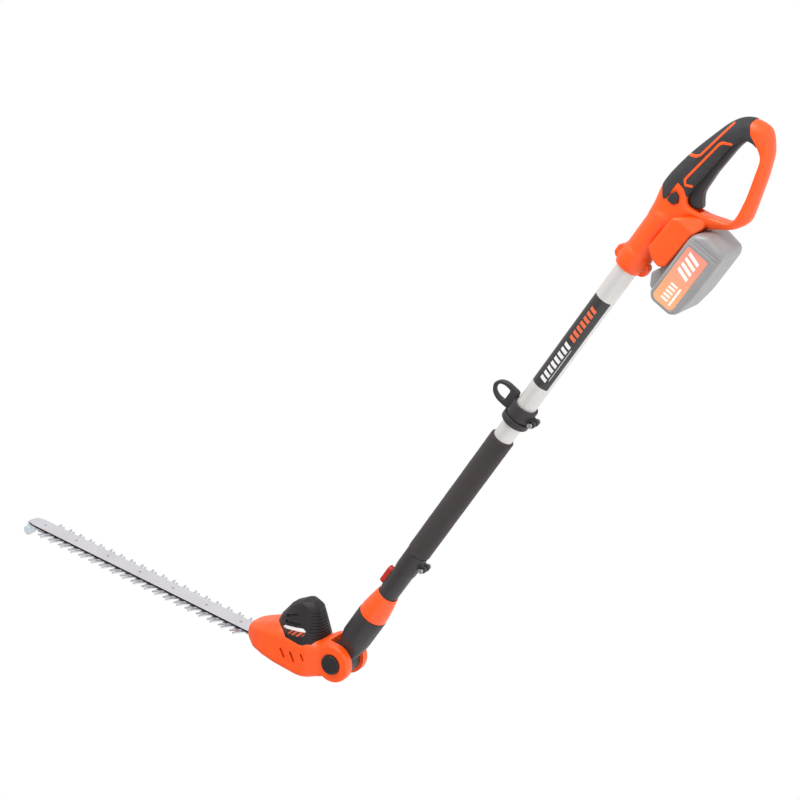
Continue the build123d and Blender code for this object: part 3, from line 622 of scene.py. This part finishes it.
def block(across_x, across_y, across_z, into=None):
    """A block between two values along each axis, alone or added to a bmesh."""
    if into is None:
        into = bmesh.new()
    places = [(x, y, z) for x in across_x for y in across_y for z in across_z]
    corners = [into.verts.new(place) for place in places]
    for face in BLOCK_FACES:
        into.faces.new([corners[i] for i in face])
    return into


def joined(*meshes):
    whole = bmesh.new()
    for part in meshes:
        held = bpy.data.meshes.new("part")
        part.to_mesh(held)
        whole.from_mesh(held)
        bpy.data.meshes.remove(held)
        part.free()
    return whole


def mirrored(mesh):
    """The same piece on the other side of the machine."""
    copy = mesh.copy()
    copy.transform(Matrix.Scale(-1, 4, (0, 1, 0)))
    return copy


def on_side(mesh, side):
    return mesh if side > 0 else mirrored(mesh)


def to_metres(mesh, place=LEVEL):
    mesh.transform(place)
    mesh.transform(Matrix.Scale(MM, 4))
    return mesh


def loose_object(name, mesh):
    """An object of a bmesh in metres. Its materials and its body come later, if at all."""
    bmesh.ops.recalc_face_normals(mesh, faces=mesh.faces)
    data = bpy.data.meshes.new(name)
    mesh.to_mesh(data)
    mesh.free()
    made = bpy.data.objects.new(name, data)
    add_to_scene(made)
    return made


def smooth(data, crease):
    data.shade_smooth()
    data.set_sharp_from_angle(angle=radians(crease))


def piece(name, mesh, body, slot, material=None, stands_for=(), place=LEVEL, crease=34):
    """Makes the object of a bmesh drawn in millimetres, gives it the material of its slot unless another is
    named, and ties it to its body.
    """
    shown = loose_object(name, to_metres(mesh, place))
    smooth(shown.data, crease)
    shown.data.materials.append(MATERIALS[material or slot])
    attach(shown, body)
    if stands_for:
        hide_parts(*stands_for)
    return shown


def apply_modifiers(shown):
    """Turns a piece's modifiers into its mesh."""
    graph = bpy.context.evaluated_depsgraph_get()
    data = bpy.data.meshes.new_from_object(shown.evaluated_get(graph))
    shown.modifiers.clear()
    shown.data = data


def carve(shown, cutter):
    """Cuts a bmesh, in metres and in its place, out of a piece."""
    tool = loose_object("cutter", cutter)
    modifier = shown.modifiers.new("cut", "BOOLEAN")
    modifier.object = tool
    modifier.operation = "DIFFERENCE"
    modifier.solver = "EXACT"
    modifier.use_self = True
    bpy.context.view_layer.update()
    apply_modifiers(shown)
    bpy.data.objects.remove(tool)


# ---------------------------------------------------------------- handle
GRIP_HALF = 17.0
GUARD_HALF = 13.0
SNOUT_R = 20.0
FLANGE_R = 21.8
MOUNT_HALF = 28.5
PAD_RISE = 0.8
GRIP_SIDE = [
    (-118, 20), (-190, 20), (-214, 22.5), (-234, 27.2), (-254, 27), (-274, 24.2), (-294, 20.5),
    (-314, 15.2), (-334, 9.4), (-354, 3.2), (-368, -4), (-377, -14), (-382.5, -28), (-383, -43),
    (-375, -54), (-360, -66), (-334, -76.5), (-296, -88.2), (-277, -93.8), (-266, -92), (-251, -83),
    (-240, -69.5), (-231, -58), (-229.2, -46), (-229.2, -33.6), (-172, -33.6), (-164, -20), (-118, -20),
]
TRIGGER_BAY = [(-359, -40), (-352, -12), (-300, 4), (-235.5, 6), (-235.5, -36.5), (-262, -36.5)]
BAY_HALF = 9.2
RAIL_BAY = [(-216, -34), (-148, -34), (-148, -60), (-216, -60)]
RAIL_BAY_HALF = 24.0
WINDOW = [
    (-357, -41), (-353, -24), (-330, -16.5), (-262, -11), (-246, -11.5), (-239.5, -20), (-242, -38),
    (-257, -76), (-270, -77.5), (-297, -72.5), (-346, -57.5),
]
MOUNT_SIDE = [
    (-168, -12), (-159, -24.5), (-156, -38), (-162.5, -46.5), (-215, -49.2), (-231, -53.5),
    (-239.5, -51), (-240, -44), (-233, -31), (-220, -15),
]
MOUNT_PANEL = [
    (-216, -18.5), (-171, -16.5), (-163.5, -26), (-160.5, -37), (-165, -42.5), (-214, -44.5), (-224, -31),
]
PAD_MASK = [
    (-227, 12), (-238, 24), (-246, 40), (-420, 40), (-420, -21), (-374, -21), (-364, -30),
    (-359, -39), (-352, -46), (-344, -34), (-330, -22), (-262, -17), (-249, -17), (-249, -11),
    (-255, -3), (-257, 9), (-230, 9),
]
UPPER_INLAY = [
    (-362, -5.5), (-303, 4), (-297, 8), (-291, 19), (-294.5, 20.5), (-300, 10.6), (-304, 7.2),
    (-362.5, -2.4),
]
LOWER_INLAY = [
    (-341, -18.5), (-338, -19.5), (-332.5, -9.5), (-328, -7.2), (-267, 1.6), (-262.5, -1.6), (-267, -9.6),
    (-264, -11.2), (-258.6, -1.6), (-264.5, 5.0), (-268, 4.8), (-331, -4.2), (-335.4, -6.6),
]
LOCK_OFF_SIDE = [(-245.5, 4), (-237, 7.5), (-230, 6), (-230, -2), (-236, -6.5), (-243, -3)]
LOCK_OFF_HOLE = [(-246.1, 4.3), (-237, 8.1), (-229.5, 6.5), (-229.5, -2.3), (-236, -7.1), (-243.5, -3.4)]
LOCK_OFF_SURROUND = [(-249, 6), (-237, 10.6), (-226.8, 8.4), (-226.8, -4), (-236, -9.6), (-246, -5)]


def grown(ring, amount):
    """A closed outline moved outwards, for gentle corners only."""
    points = spaced(list(ring), 2.0)
    ahead = np.roll(points, -1, 0) - np.roll(points, 1, 0)
    side = np.stack((-ahead[:, 1], ahead[:, 0]), 1)
    side /= np.linalg.norm(side, axis=1)[:, None]
    if within(points + 0.2 * side, points).mean() > 0.5:
        side = -side
    return [Vector(p) for p in points + amount * side]


grip_ring, grip_edge = outline(GRIP_SIDE, 7)
window_ring, window_edge = outline(WINDOW, 7)


def grip_height(points, extra=0.0):
    """Half-width of the handle, with round edges inside and outside the loop."""
    outer = edge_distance(points, grip_edge)
    outer = np.where(within(points, grip_edge), outer, -outer) + extra
    inner = edge_distance(points, window_edge)
    inner = np.where(within(points, window_edge), -inner, inner) + extra
    x, z = points.T
    low = blend_to(-z, 34, 52) * blend_to(-x, 222, 240)
    half = GRIP_HALF + extra - (GRIP_HALF - GUARD_HALF) * low
    reach = 15.0 - 6.5 * low
    bar = half - (1 - low) * dome(np.maximum(outer, 0), reach, half - 0.3)
    bar = bar - low * faceted_edge(np.maximum(outer, 0), half)
    bar = bar - dome(np.maximum(inner, 0), 5.0, 0.28 * half)
    bar = np.where(x > -196, bar - 60 * blend_to(x, -196, -176), bar)
    barrel = np.sqrt(np.maximum((SNOUT_R + extra) ** 2 - z ** 2, 0))
    barrel = barrel - 30 * blend_to(-x, 205, 245)
    return np.maximum(np.maximum(bar, barrel), 0.3)


def handle_half(side):
    """Shell half with the sunk surround of the lock-off button."""
    surround, button_edge = outline(LOCK_OFF_SURROUND, 1.5, 1.5)
    button_hole = rounded(LOCK_OFF_HOLE, 1)
    bay = [Vector(p) for p in TRIGGER_BAY]
    bay_edge = spaced(bay, 2.0)

    def floor(points):
        return 0.12 + (BAY_HALF - 0.12) * rise_inside(points, bay_edge, 0.25)

    def height(points):
        return grip_height(points) - 1.2 * rise_inside(points, button_edge, 1.2)

    holes = [window_ring, button_hole]
    return on_side(relief([grip_ring], height, holes=holes, lines=[surround, bay], floor=floor), side)


def mount_half(side):
    """Wide block above the battery, with a stepped panel on its face."""
    ring, edge = outline(MOUNT_SIDE, 4)
    panel, panel_edge = outline(MOUNT_PANEL, 4)

    def height(points):
        h = MOUNT_HALF - dome(edge_distance(points, edge), 3.0, 3.0)
        h = h - (MOUNT_HALF - GUARD_HALF - 1) * blend_to(-points[:, 0], 220, 242)
        return h - 0.3 * rise_inside(points, panel_edge, 1.0)

    def floor(points):
        x, z = points.T
        return 6.0 + (RAIL_BAY_HALF - 6.0) * blend_to(-z, 34.0, 34.25) * (1 - blend_to(-x, 215.7, 216))

    bay = [Vector(p) for p in RAIL_BAY]
    rows = (0.3, 1.0, 2.0, 3.0)
    return on_side(relief([ring], height, lines=[panel, bay], floor=floor, rows=rows), side)


def snout_flange():
    """Round front end with two clamp lugs."""
    profile = [
        (-150, 19.4), (-142, FLANGE_R), (-125, FLANGE_R), (-117.3, 18.4), (-117.3, 15.2), (-150, 15.2),
    ]
    ring = turned(rounded(profile, 2.2))
    side_view = [(-141, 12), (-139, 24), (-135, 27), (-124, 27), (-119.5, 22), (-119.5, 12)]
    lugs = []
    for sign in (1, -1):
        lug, edge = outline([(x, sign * z) for x, z in side_view], 2, 1.0)
        lugs.append(relief(
            [lug], edged(6.0, edge, 1.5, 1.5), both=True, step=1.0, pitch=2.0, rows=(0.2, 0.6, 1.2),
        ))
    return joined(ring, *lugs)


def grip_pad(side):
    mask, mask_edge = outline(PAD_MASK, 2)
    outer = grown(grip_ring, PAD_RISE - 0.1)

    def height(points):
        lift = grip_height(points, PAD_RISE)
        border = np.where(within(points, mask_edge), edge_distance(points, mask_edge), 0)
        x, z = points.T
        leaning = 0.8 * x + 0.6 * z + 352
        ribs = 0.35 * np.clip(np.sin(2.4 * leaning), 0, 1)
        ribs = ribs * blend_to(-x, 352, 356) * (1 - blend_to(-x, 370, 374))
        return lift - dome(border, 0.9, 0.9) - ribs

    def floor(points):
        return np.clip(grip_height(points, PAD_RISE) - 1.8, 0.15, BAY_HALF + 0.2)

    return on_side(relief([outer, mask], height, holes=[grown(window_ring, -0.6)], floor=floor), side)


def inlays(side):
    """Raised orange lines set in the grip pad."""
    strips = []
    for points in (UPPER_INLAY, LOWER_INLAY):
        ring, edge = outline(points, 1.6, 1.2)

        def height(p, edge=edge):
            return grip_height(p, PAD_RISE + 0.45) - dome(edge_distance(p, edge), 0.7, 0.7)

        def floor(p):
            return np.maximum(grip_height(p, PAD_RISE) - 1.0, 0.2)

        strips.append(relief([ring], height, floor=floor, step=1.2, pitch=2.0, rows=(0.25, 0.7)))
    return on_side(joined(*strips), side)


def lever(points, half, corner, reach, depth):
    """A flat piece that reaches equally far to both sides, with round edges."""
    ring, edge = outline(points, corner, 1.6)
    rows = (0.2, 0.7, 1.5, 2.6, 4.0)
    return relief([ring], edged(half, edge, reach, depth), both=True, step=1.6, pitch=2.6, rows=rows)


TRIGGER_SIDE = [
    (-352, -15), (-353.5, -30), (-346, -26), (-335, -24.2), (-295, -21.8), (-264, -23.2), (-255, -28.5),
    (-247.5, -34.5), (-241.5, -31), (-239.5, -20), (-244, -11), (-262, -7), (-300, -7), (-340, -12),
]


def build_handle():
    for side, word in ((1, "left"), (-1, "right")):
        shell = "handle_shell_" + word
        piece("handle_skin_" + word, handle_half(side), "pole", "orange_plastic", stands_for=[shell])
        piece("battery_mount_" + word, mount_half(side), "pole", "orange_plastic", stands_for=[shell])
        piece("pad_skin_" + word, grip_pad(side), "pole", "soft_black", stands_for=["grip_pad_" + word])
        piece("grip_inlay_" + word, inlays(side), "pole", "orange_plastic")
    piece("snout_flange", snout_flange(), "pole", "orange_plastic", stands_for=["handle_shell_left"])
    lever_mesh = lever(TRIGGER_SIDE, 8.6, 5, 4.5, 4.0)
    piece("trigger_lever", lever_mesh, "trigger", "black_plastic", stands_for=["trigger"])
    cap = lever(LOCK_OFF_SIDE, 19.5, 1.2, 1.4, 1.2)
    piece("lock_off_cap", cap, "lock_off", "black_plastic", stands_for=["lock_off_button"])


# ---------------------------------------------------------------- battery
BATTERY_HALF = 37.5
BATTERY_SIDE = [
    (-119, -58), (-127, -50.2), (-214, -50.2), (-225, -52.6), (-234, -68), (-230.5, -97), (-222, -102),
    (-160, -102), (-127, -98), (-119, -90),
]
BATTERY_PANEL = [(-211, -54.5), (-128, -54.5), (-122.5, -60), (-122.5, -87), (-128, -92.5), (-211, -92.5)]
BATTERY_LABEL = [(-209, -56.5), (-129, -56.5), (-124.5, -61), (-124.5, -86), (-129, -90.5), (-209, -90.5)]


def build_battery():
    ring, edge = outline(BATTERY_SIDE, 5)
    panel, panel_edge = outline(BATTERY_PANEL, 4)

    def height(points):
        x, z = points.T
        h = BATTERY_HALF - dome(edge_distance(points, edge), 6.5, 6.5)
        h = h - 0.7 * rise_inside(points, panel_edge, 0.8)
        for groove_x in (-215.0, -219.6):
            h = h - 0.9 * (1 - blend_to(np.abs(x - groove_x), 0.4, 1.3)) * blend_to(-z, 54, 57)
        return h - 0.5 * (1 - blend_to(np.abs(z + 96.2), 0.3, 0.9))

    rows = (0.2, 0.7, 1.5, 2.6, 4.2, 6.4)
    case = relief([ring], height, lines=[panel], both=True, rows=rows, pitch=1.6)
    cases = ["battery_case_lower", "battery_case_upper"]
    piece("battery_case", case, "battery", "grey_plastic", stands_for=cases)
    nose = lever([(-153, -52), (-151, -38), (-140, -33), (-124, -42), (-121.5, -54)], 17.0, 3, 3.0, 3.0)
    rail = lever([(-207, -52), (-207, -38), (-160, -38), (-153, -42), (-153, -52)], 21.5, 1.5, 1.0, 1.0)
    both = joined(nose, rail)
    shoulder = piece("battery_shoulder", both, "battery", "grey_plastic", stands_for=[cases[1]])
    latch_room = block((-149.5, -125.5), (-12.4, 12.4), (-47, -30))
    carve(shoulder, to_metres(latch_room))
    label, label_edge = outline(BATTERY_LABEL, 3.5)
    film = relief(
        [label], edged(BATTERY_HALF - 0.45, label_edge, 0.25, 0.15), floor=BATTERY_HALF - 1.2,
        rows=(0.2, 0.6),
    )
    other = mirrored(film)
    piece("battery_label_left", film, "battery", "label_film", "battery_label")
    piece("battery_label_right", other, "battery", "label_film", "battery_label")


# ---------------------------------------------------------------- pole
FOAM_REAR, FOAM_FRONT, FOAM_R, TUBE_R = 204.0, 450.0, 18.4, 15.0


def build_foam():
    count = 90
    outer = []
    for k in range(count + 1):
        x = FOAM_REAR + (FOAM_FRONT - FOAM_REAR) * k / count
        from_end = min(x - FOAM_REAR, FOAM_FRONT - x)
        outer.append((x, FOAM_R - float(dome(np.array(from_end), 2.6, 2.2))))
    profile = outer + [(FOAM_FRONT, TUBE_R + 0.1), (FOAM_REAR, TUBE_R + 0.1)]

    def wobble(x, angle):
        if x in (FOAM_REAR, FOAM_FRONT):
            return 0.0
        return -0.12 + 0.06 * sin(0.11 * x + 2 * angle) + 0.05 * sin(0.37 * x - 3 * angle)

    mesh = turned(profile, 96, wobble)
    foam = piece("foam_sleeve", mesh, "pole", "grip_foam", stands_for=["foam_grip"])


def clamp_lugs(x, z, inner, outer, radius, root_z):
    """Two ears with a bolt hole, one each side of a clamp's gap, and their roots."""
    made = []
    for low, high in ((inner, outer), (-outer, -inner)):
        ear = turned(rounded([(low, 2.4), (low, radius), (high, radius), (high, 2.4)], 0.7), 40)
        about_y(ear)
        ear.transform(Matrix.Translation((x, 0, z)))
        reach = radius - 0.1
        made += [ear, block((x - reach, x + reach), (low, high), root_z)]
    return made


def build_strap_collar():
    ring = turned(rounded([(163, 15.3), (163, 21.5), (173, 21.5), (173, 15.3)], 1.6))
    bush = turned(rounded([(140.5, 15.3), (140.5, 19.4), (161.5, 19.4), (161.5, 15.3)], 1.4))
    neck = turned([(161, 15.4), (161, 18.0), (163.5, 18.0), (163.5, 15.4)])
    arch = [
        (131.5, 16.6), (131.5, 41), (137, 52), (148.5, 58.0), (160, 52), (165.5, 41), (165.5, 22),
        (162.5, 17.2),
    ]
    hole = [(139.3, 30.3), (139.3, 42), (142.5, 49), (148.5, 51.4), (154.5, 49), (157.7, 42), (157.7, 30.3)]
    eye_ring, hole_ring = rounded(arch, 6), rounded(hole, 3.5)
    eye_edge, hole_edge = spaced(eye_ring, 1.5), spaced(hole_ring, 1.5)

    def height(p):
        sides = dome(edge_distance(p, eye_edge), 3.0, 3.0) + dome(edge_distance(p, hole_edge), 2.4, 2.4)
        return np.maximum(4.0 - sides, 0.4)

    rows = (0.2, 0.7, 1.5, 2.4, 3.2)
    eye = relief([eye_ring], height, holes=[hole_ring], both=True, step=1.5, pitch=2.2, rows=rows)
    whole = joined(ring, bush, neck, eye, *clamp_lugs(155, -24, 1.4, 8.0, 5.2, (-22.5, -16.5)))
    piece("strap_collar_skin", whole, "strap_collar", "black_plastic", stands_for=["strap_collar"])


SLEEVE_R = 15.7
BUTTON_X = 520


def build_sleeve():
    collar = [
        (450.6, 15.2), (450.6, 17.4), (488, 17.4), (497, 16.0), (545, SLEEVE_R), (545, 14.2), (498, 14.2),
        (494, 15.2),
    ]
    body = turned(rounded(collar, 1.5))
    rest, rest_edge = outline([(498, -9.2), (498, 9.2), (540, 9.2), (540, -9.2)], 8, 1.5)

    def hump(p):
        base = np.sqrt(np.maximum(SLEEVE_R ** 2 - p[:, 1] ** 2, 0))
        return base + 0.9 - dome(edge_distance(p, rest_edge), 1.6, 1.6)

    surround = relief([rest], hump, floor=13.1, step=1.5, pitch=2.4, rows=(0.3, 0.9, 1.8))
    surround.transform(UPRIGHT)
    whole = joined(body, surround, *clamp_lugs(465, -22.3, 1.1, 7.0, 5.4, (-21.0, -15.5)))
    sleeve = piece("coupling_sleeve_skin", whole, "pole", "black_plastic", stands_for=["coupling_sleeve"])
    slot = block((BUTTON_X - 17.6, BUTTON_X + 17.6), (-7.1, 7.1), (10, 30))
    carve(sleeve, to_metres(slot))


def build_button():
    pill = []
    for middle_x, first in ((BUTTON_X + 10.5, -90), (BUTTON_X - 10.5, 90)):
        for k in range(13):
            a = radians(first + 15 * k)
            pill.append(Vector((middle_x + 6.5 * cos(a), 6.5 * sin(a))))
    edge = spaced(pill, 1.2)

    def height(p):
        along = np.abs(p[:, 0] - BUTTON_X)
        dish = 0.7 * (1 - blend_to(along, 3, 11)) * (1 - blend_to(np.abs(p[:, 1]), 2, 5))
        return 23.5 - dome(edge_distance(p, edge), 2.2, 2.4) - dish

    cap = relief([pill], height, floor=15.4, step=1.2, pitch=1.6, rows=(0.2, 0.6, 1.2, 2.0, 3.0))
    button = "coupling_button"
    piece("release_button", cap, button, "red_plastic", stands_for=[button], place=UPRIGHT)


def build_lock_collar():
    profile = [
        (545.5, 15.8), (545.5, 17.2), (556, 19.0), (572, 21.4), (585, 22.9), (593.3, 23.4), (593.3, 15.8),
    ]
    collar = turned(rounded(profile, 0.6), 96)
    piece("lock_collar_skin", collar, "lock_collar", "orange_plastic", stands_for=["lock_collar"])


# ---------------------------------------------------------------- knuckle
def section(x, half_y, top, bottom, power, count=72):
    """A ring between a round (power 2) and a rectangle (high power)."""
    ring = []
    half_z, middle_z = (top + bottom) / 2, (top - bottom) / 2
    for k in range(count):
        c, s = cos(2 * pi * k / count), sin(2 * pi * k / count)
        y = half_y * abs(c) ** (2 / power) * (1 if c >= 0 else -1)
        z = half_z * abs(s) ** (2 / power) * (1 if s >= 0 else -1)
        ring.append((x, y, middle_z + z))
    return ring


def lofted(sections):
    mesh = bmesh.new()
    rings = [[mesh.verts.new(p) for p in ring] for ring in sections]
    for one, two in zip(rings, rings[1:]):
        for i in range(len(one)):
            j = (i + 1) % len(one)
            mesh.faces.new((one[i], one[j], two[j], two[i]))
    mesh.faces.new(rings[0])
    mesh.faces.new(rings[-1])
    return mesh


KNUCKLE_R = 24.0
KNUCKLE_STATIONS = [
    (594.1, 22.6, 22.6, 22.6, 2.0), (594.6, 23.5, 23.5, 23.5, 2.0), (596, 24, 24, 24, 2.0),
    (618, 24, 24, 24, 2.0), (640, 24, 24, 24, 2.0), (646, 23.6, 24, 24, 2.05),
    (650, 22.6, 23.2, 23.9, 2.1), (654, 21.0, 21.9, 23.6, 2.25), (659, 18.6, 20.4, 23.0, 2.6),
    (664, 16.4, 19.0, 22.2, 3.2), (668, 15.1, 17.9, 21.5, 4.0), (674, 15.0, 16.6, 20.4, 5.0),
    (684, 15.0, 15.0, 19.0, 7.0), (694, 15.0, 13.5, 17.5, 9.0),
]


def build_knuckle():
    neck = lofted([section(*station) for station in KNUCKLE_STATIONS])
    ring = circle(PIVOT_X, 0, 26.0)
    edge = spaced(ring, 2.0)
    boss = relief([ring], edged(15.4, edge, 2.2, 2.2), both=True, rows=(0.2, 0.7, 1.4, 2.4))
    halves = ["knuckle_left", "knuckle_right"]
    piece("knuckle_skin", joined(neck, boss), "knuckle", "black_plastic", stands_for=halves)
    rib, rib_edge = outline([(600, -1.4), (600, 1.4), (646, 1.4), (646, -1.4)], 1.2, 1.2)

    def height(p):
        round_face = np.sqrt(KNUCKLE_R ** 2 - p[:, 1] ** 2)
        return round_face + 0.35 - dome(edge_distance(p, rib_edge), 0.5, 0.5)

    strip = relief([rib], height, floor=22.0, step=1.2, pitch=2.0, rows=(0.3, 0.8))
    below = mirrored(strip)
    piece("knuckle_seam", joined(strip, below), "knuckle", "black_plastic", place=UPRIGHT)


# ---------------------------------------------------------------- head
HEAD_SIDE = [
    (-6, 30.4), (10, 31), (24, 31), (32, 22), (108, 21), (130, 14.5), (146, 7), (160, -0.5), (171, -8),
    (174, -20), (168, -31), (151, -40), (100, -44.5), (56, -46.5), (36, -42), (14, -29), (0, -22), (-4, 10),
]
HEAD_PANEL = [(28, -6), (42, -2), (104, -8), (112, -16), (104, -30), (64, -34), (34, -24)]
EAR_R = 31.0
EAR_INNER = 15.95
CAP_SEAT_R = 16.1
PLAN_B = (-10, 22, 46, 104, 128, 150, 166, 174)
PLAN_Y = (29.9, 29.9, 36, 36, 34, 28.5, 20.5, 12)
SLOTS = [
    [(45.5, -13.5), (48.8, -16), (56.2, -5), (52.7, -3.2)],
    [(62, -22.5), (66, -25.5), (76.2, -10.5), (72.5, -7.7)],
    [(81, -22.7), (84.7, -26), (94.7, -12.3), (91.4, -9.6)],
]


def housing_half(side):
    ring, edge = outline(HEAD_SIDE, 7)
    panel, panel_edge = outline(HEAD_PANEL, 5)
    slots = [rounded(s, 1.0) for s in SLOTS]
    slot_edges = [spaced(s, 1.0) for s in slots]

    def height(points):
        b, n = points.T
        top = np.interp(b, PLAN_B, PLAN_Y)
        d = edge_distance(points, edge)
        upper = blend_to(n, -6, 10)
        reach = 20 * upper + 9 * (1 - upper)
        depth = np.minimum(top - 1, 19 * upper + 10 * (1 - upper)) * blend_to(b, 8, 34)
        depth = np.maximum(depth, 3.0)
        h = top - dome(d, reach, depth)
        h = h - 0.3 * rise_inside(points, panel_edge, 2.0)
        for slot_edge in slot_edges:
            h = h - 0.5 * (1 - blend_to(edge_distance(points, slot_edge), 0, 0.8))
        return np.maximum(h, 0.5)

    holes = [*slots, circle(0, 0, CAP_SEAT_R, 1.5)]
    return on_side(relief([ring], height, holes=holes, lines=[panel], floor=0.12, pitch=3.0), side)


def swing_room():
    """What the knuckle sweeps between the ears, with the slot above it."""
    drum = turned([(-15.9, 0.0), (-15.9, 32.4), (15.9, 32.4), (15.9, 0.0)], 96)
    about_y(drum)
    corners = ((-70, -60), (8, -60), (8, 0), (24, 60), (-70, 60))
    wedge = lofted([[(b, y, n) for b, n in corners] for y in (-15.9, 15.9)])
    return drum, wedge


def ear(side):
    """Round lug with a rim around the cap's seat."""
    ring = circle(0, 0, EAR_R)
    edge = spaced(ring, 2.0)
    seat = circle(0, 0, CAP_SEAT_R, 1.5)
    seat_edge = spaced(seat, 1.5)
    steps = [circle(0, 0, 25.5), circle(0, 0, 20.2)]

    def height(p):
        r = np.hypot(p[:, 0], p[:, 1])
        h = 30.0 - dome(edge_distance(p, edge), 4.0, 4.0)
        h = h - 0.2 * blend_to(r, 19.5, 21) * (1 - blend_to(r, 25.5, 26.5))
        return h - dome(edge_distance(p, seat_edge), 0.6, 0.6)

    rows = (0.25, 0.7, 1.4, 2.4, 4.0)
    return on_side(relief([ring], height, holes=[seat], lines=steps, floor=EAR_INNER, rows=rows), side)


def build_housing():
    for side, word in ((1, "left"), (-1, "right")):
        for_shell = {"stands_for": ["gear_housing_" + word], "place": HEAD}
        half = piece("head_skin_" + word, housing_half(side), "head", "orange_plastic", **for_shell)
        for cutter in swing_room():
            carve(half, to_metres(cutter, HEAD))
        piece("head_ear_" + word, ear(side), "head", "orange_plastic", **for_shell)


# Corners of the motor cover's left half, as (b, y, n).
COVER_POINTS = [
    (32, 5, 3), (33, 15, 3), (40, 28.5, 3), (53, 33.4, 3), (68, 34.8, 3), (88, 34.3, 3), (106, 25, 3),
    (118, 14, 3), (126, 5, 3), (32.5, 5, 20), (33.2, 15.5, 19), (40.5, 29, 17), (54, 34, 15),
    (40, 5, 48), (43, 13.5, 48), (50, 21.5, 48), (60, 28.5, 40), (72, 31, 38), (89, 31, 36),
    (106, 21, 34), (115, 9, 34), (51, 6, 71), (54, 13, 69), (60, 17, 67), (76, 18, 71.5), (61, 6, 77),
    (76, 6, 76), (99, 8, 60), (95, 17, 57),
]
COVER_CREASE = 20
VENTS = ([(98, 43.5), (76, 55.5), (75, 52), (96, 39.5)], [(95, 38), (66, 43), (66, 39), (95, 33.5)])


def cover_hull(inset=0.0):
    centre = Vector((74, 0, 20))
    points = []
    for b, y, n in COVER_POINTS:
        for sign in (1, -1):
            spot = Vector((b, sign * y, n))
            if inset:
                spot = spot - (spot - centre).normalized() * inset
            points.append(spot)
    return hull(points)


def on_cover(points):
    """How far out the motor cover's side is at each (b, n)."""
    tree = BVHTree.FromBMesh(cover_hull())
    reach = []
    for b, n in points:
        hit = tree.ray_cast(Vector((b, 60, n)), Vector((0, -1, 0)))[0]
        reach.append(hit.y if hit else 20.0)
    return np.array(reach)


def louvre_slats():
    """Flat slats across the cover's rear, cut back to a thin shell inside its faces."""
    slats = bmesh.new()
    for k in range(9):
        n = 24.0 + 4.7 * k
        rear = 35 + 0.2 * max(n - 20, 0)
        block((18, rear + 12), (-27, 27), (n, n + 1.5), slats)
    made = loose_object("slats", to_metres(slats, HEAD))
    carve(made, to_metres(cover_hull(1.7), HEAD))
    shell = bmesh.new()
    shell.from_mesh(made.data)
    bpy.data.objects.remove(made)
    return shell


def vent_cuts():
    cuts = []
    for points in VENTS:
        cut = relief(
            [rounded(points, 0.8)], lambda p: np.full(len(p), 40.0), floor=lambda p: on_cover(p) - 3.0,
            step=3, pitch=6, rows=(0.5,),
        )
        cuts += [cut, mirrored(cut)]
    return joined(*cuts)


def build_cover():
    cover = piece(
        "motor_cover_skin", cover_hull(), "head", "cover_black", stands_for=["motor_cover"], place=HEAD,
        crease=COVER_CREASE,
    )
    bevel = cover.modifiers.new("edges", "BEVEL")
    bevel.width = 1.6 * MM
    bevel.segments = 3
    bevel.angle_limit = radians(12)
    apply_modifiers(cover)
    carve(cover, louvre_slats())
    carve(cover, to_metres(vent_cuts(), HEAD))
    smooth(cover.data, COVER_CREASE)


def build_badge():
    """A film on each side of the cover that follows its faces."""
    ring, edge = outline([(54, 33), (60, 37), (92, 30), (98, 24), (96, 17), (66, 21), (56, 26)], 2.0, 1.5)
    for side, word in ((1, "left"), (-1, "right")):
        film = relief(
            [ring], lambda p: on_cover(p) + 0.3 - dome(edge_distance(p, edge), 0.3, 0.2),
            floor=lambda p: on_cover(p) - 3.0, step=1.5, pitch=2.0, rows=(0.25, 0.8),
        )
        piece("cover_badge_" + word, on_side(film, side), "head", "label_film", "cover_badge", place=HEAD)


def build_pivot():
    cap = [
        (29.7, 0.0), (29.7, 15.8), (33.4, 15.8), (35.0, 13.6), (34.1, 11.6), (34.1, 9.5), (35.0, 6.5),
        (35.0, 0.0),
    ]
    disc = turned(rounded(cap, 0.7), 64)
    about_y(disc)
    stem = turned([(24.9, 0.0), (24.9, 3.9), (30.0, 3.9), (30.0, 0.0)], 32)
    about_y(stem)
    button = "tilt_button"
    piece("tilt_cap", joined(disc, stem), button, "cover_black", stands_for=[button], place=HEAD)
    far_cap = [
        (-25.7, 0.0), (-25.7, 15.9), (-30.6, 15.9), (-32.4, 13.6), (-32.4, 9.0), (-31.4, 7.6), (-31.4, 0.0),
    ]
    far = turned(rounded(far_cap, 0.7), 64)
    about_y(far)
    piece("pivot_cap_skin", far, "head", "black_plastic", stands_for=["pivot_cap"], place=HEAD)


def dress_nodes():
    """Better materials for the CAD nodes that stay."""
    for entry in frame["record"]["subparts"]:
        shown = nodes[entry["node"]]
        shown.data.materials.clear()
        shown.data.materials.append(MATERIALS[entry["material_slot"]])


right, up, back = make_camera()
make_world(up)
make_floor()
bpy.context.scene.view_settings.view_transform = "Standard"
middle = Vector((250, 0, 100)) * MM
area_light("key", middle + up * 1.9 - right * 0.8 + back * 1.3, middle, (1.5, 1.0), 46)
area_light("fill", middle + right * 2.0 + back * 1.6, middle, (1.2, 1.2), 10)

make_materials()
dress_nodes()
build_handle()
build_battery()
build_foam()
build_strap_collar()
build_sleeve()
build_button()
build_lock_collar()
build_knuckle()
build_housing()
build_cover()
build_badge()
build_pivot()
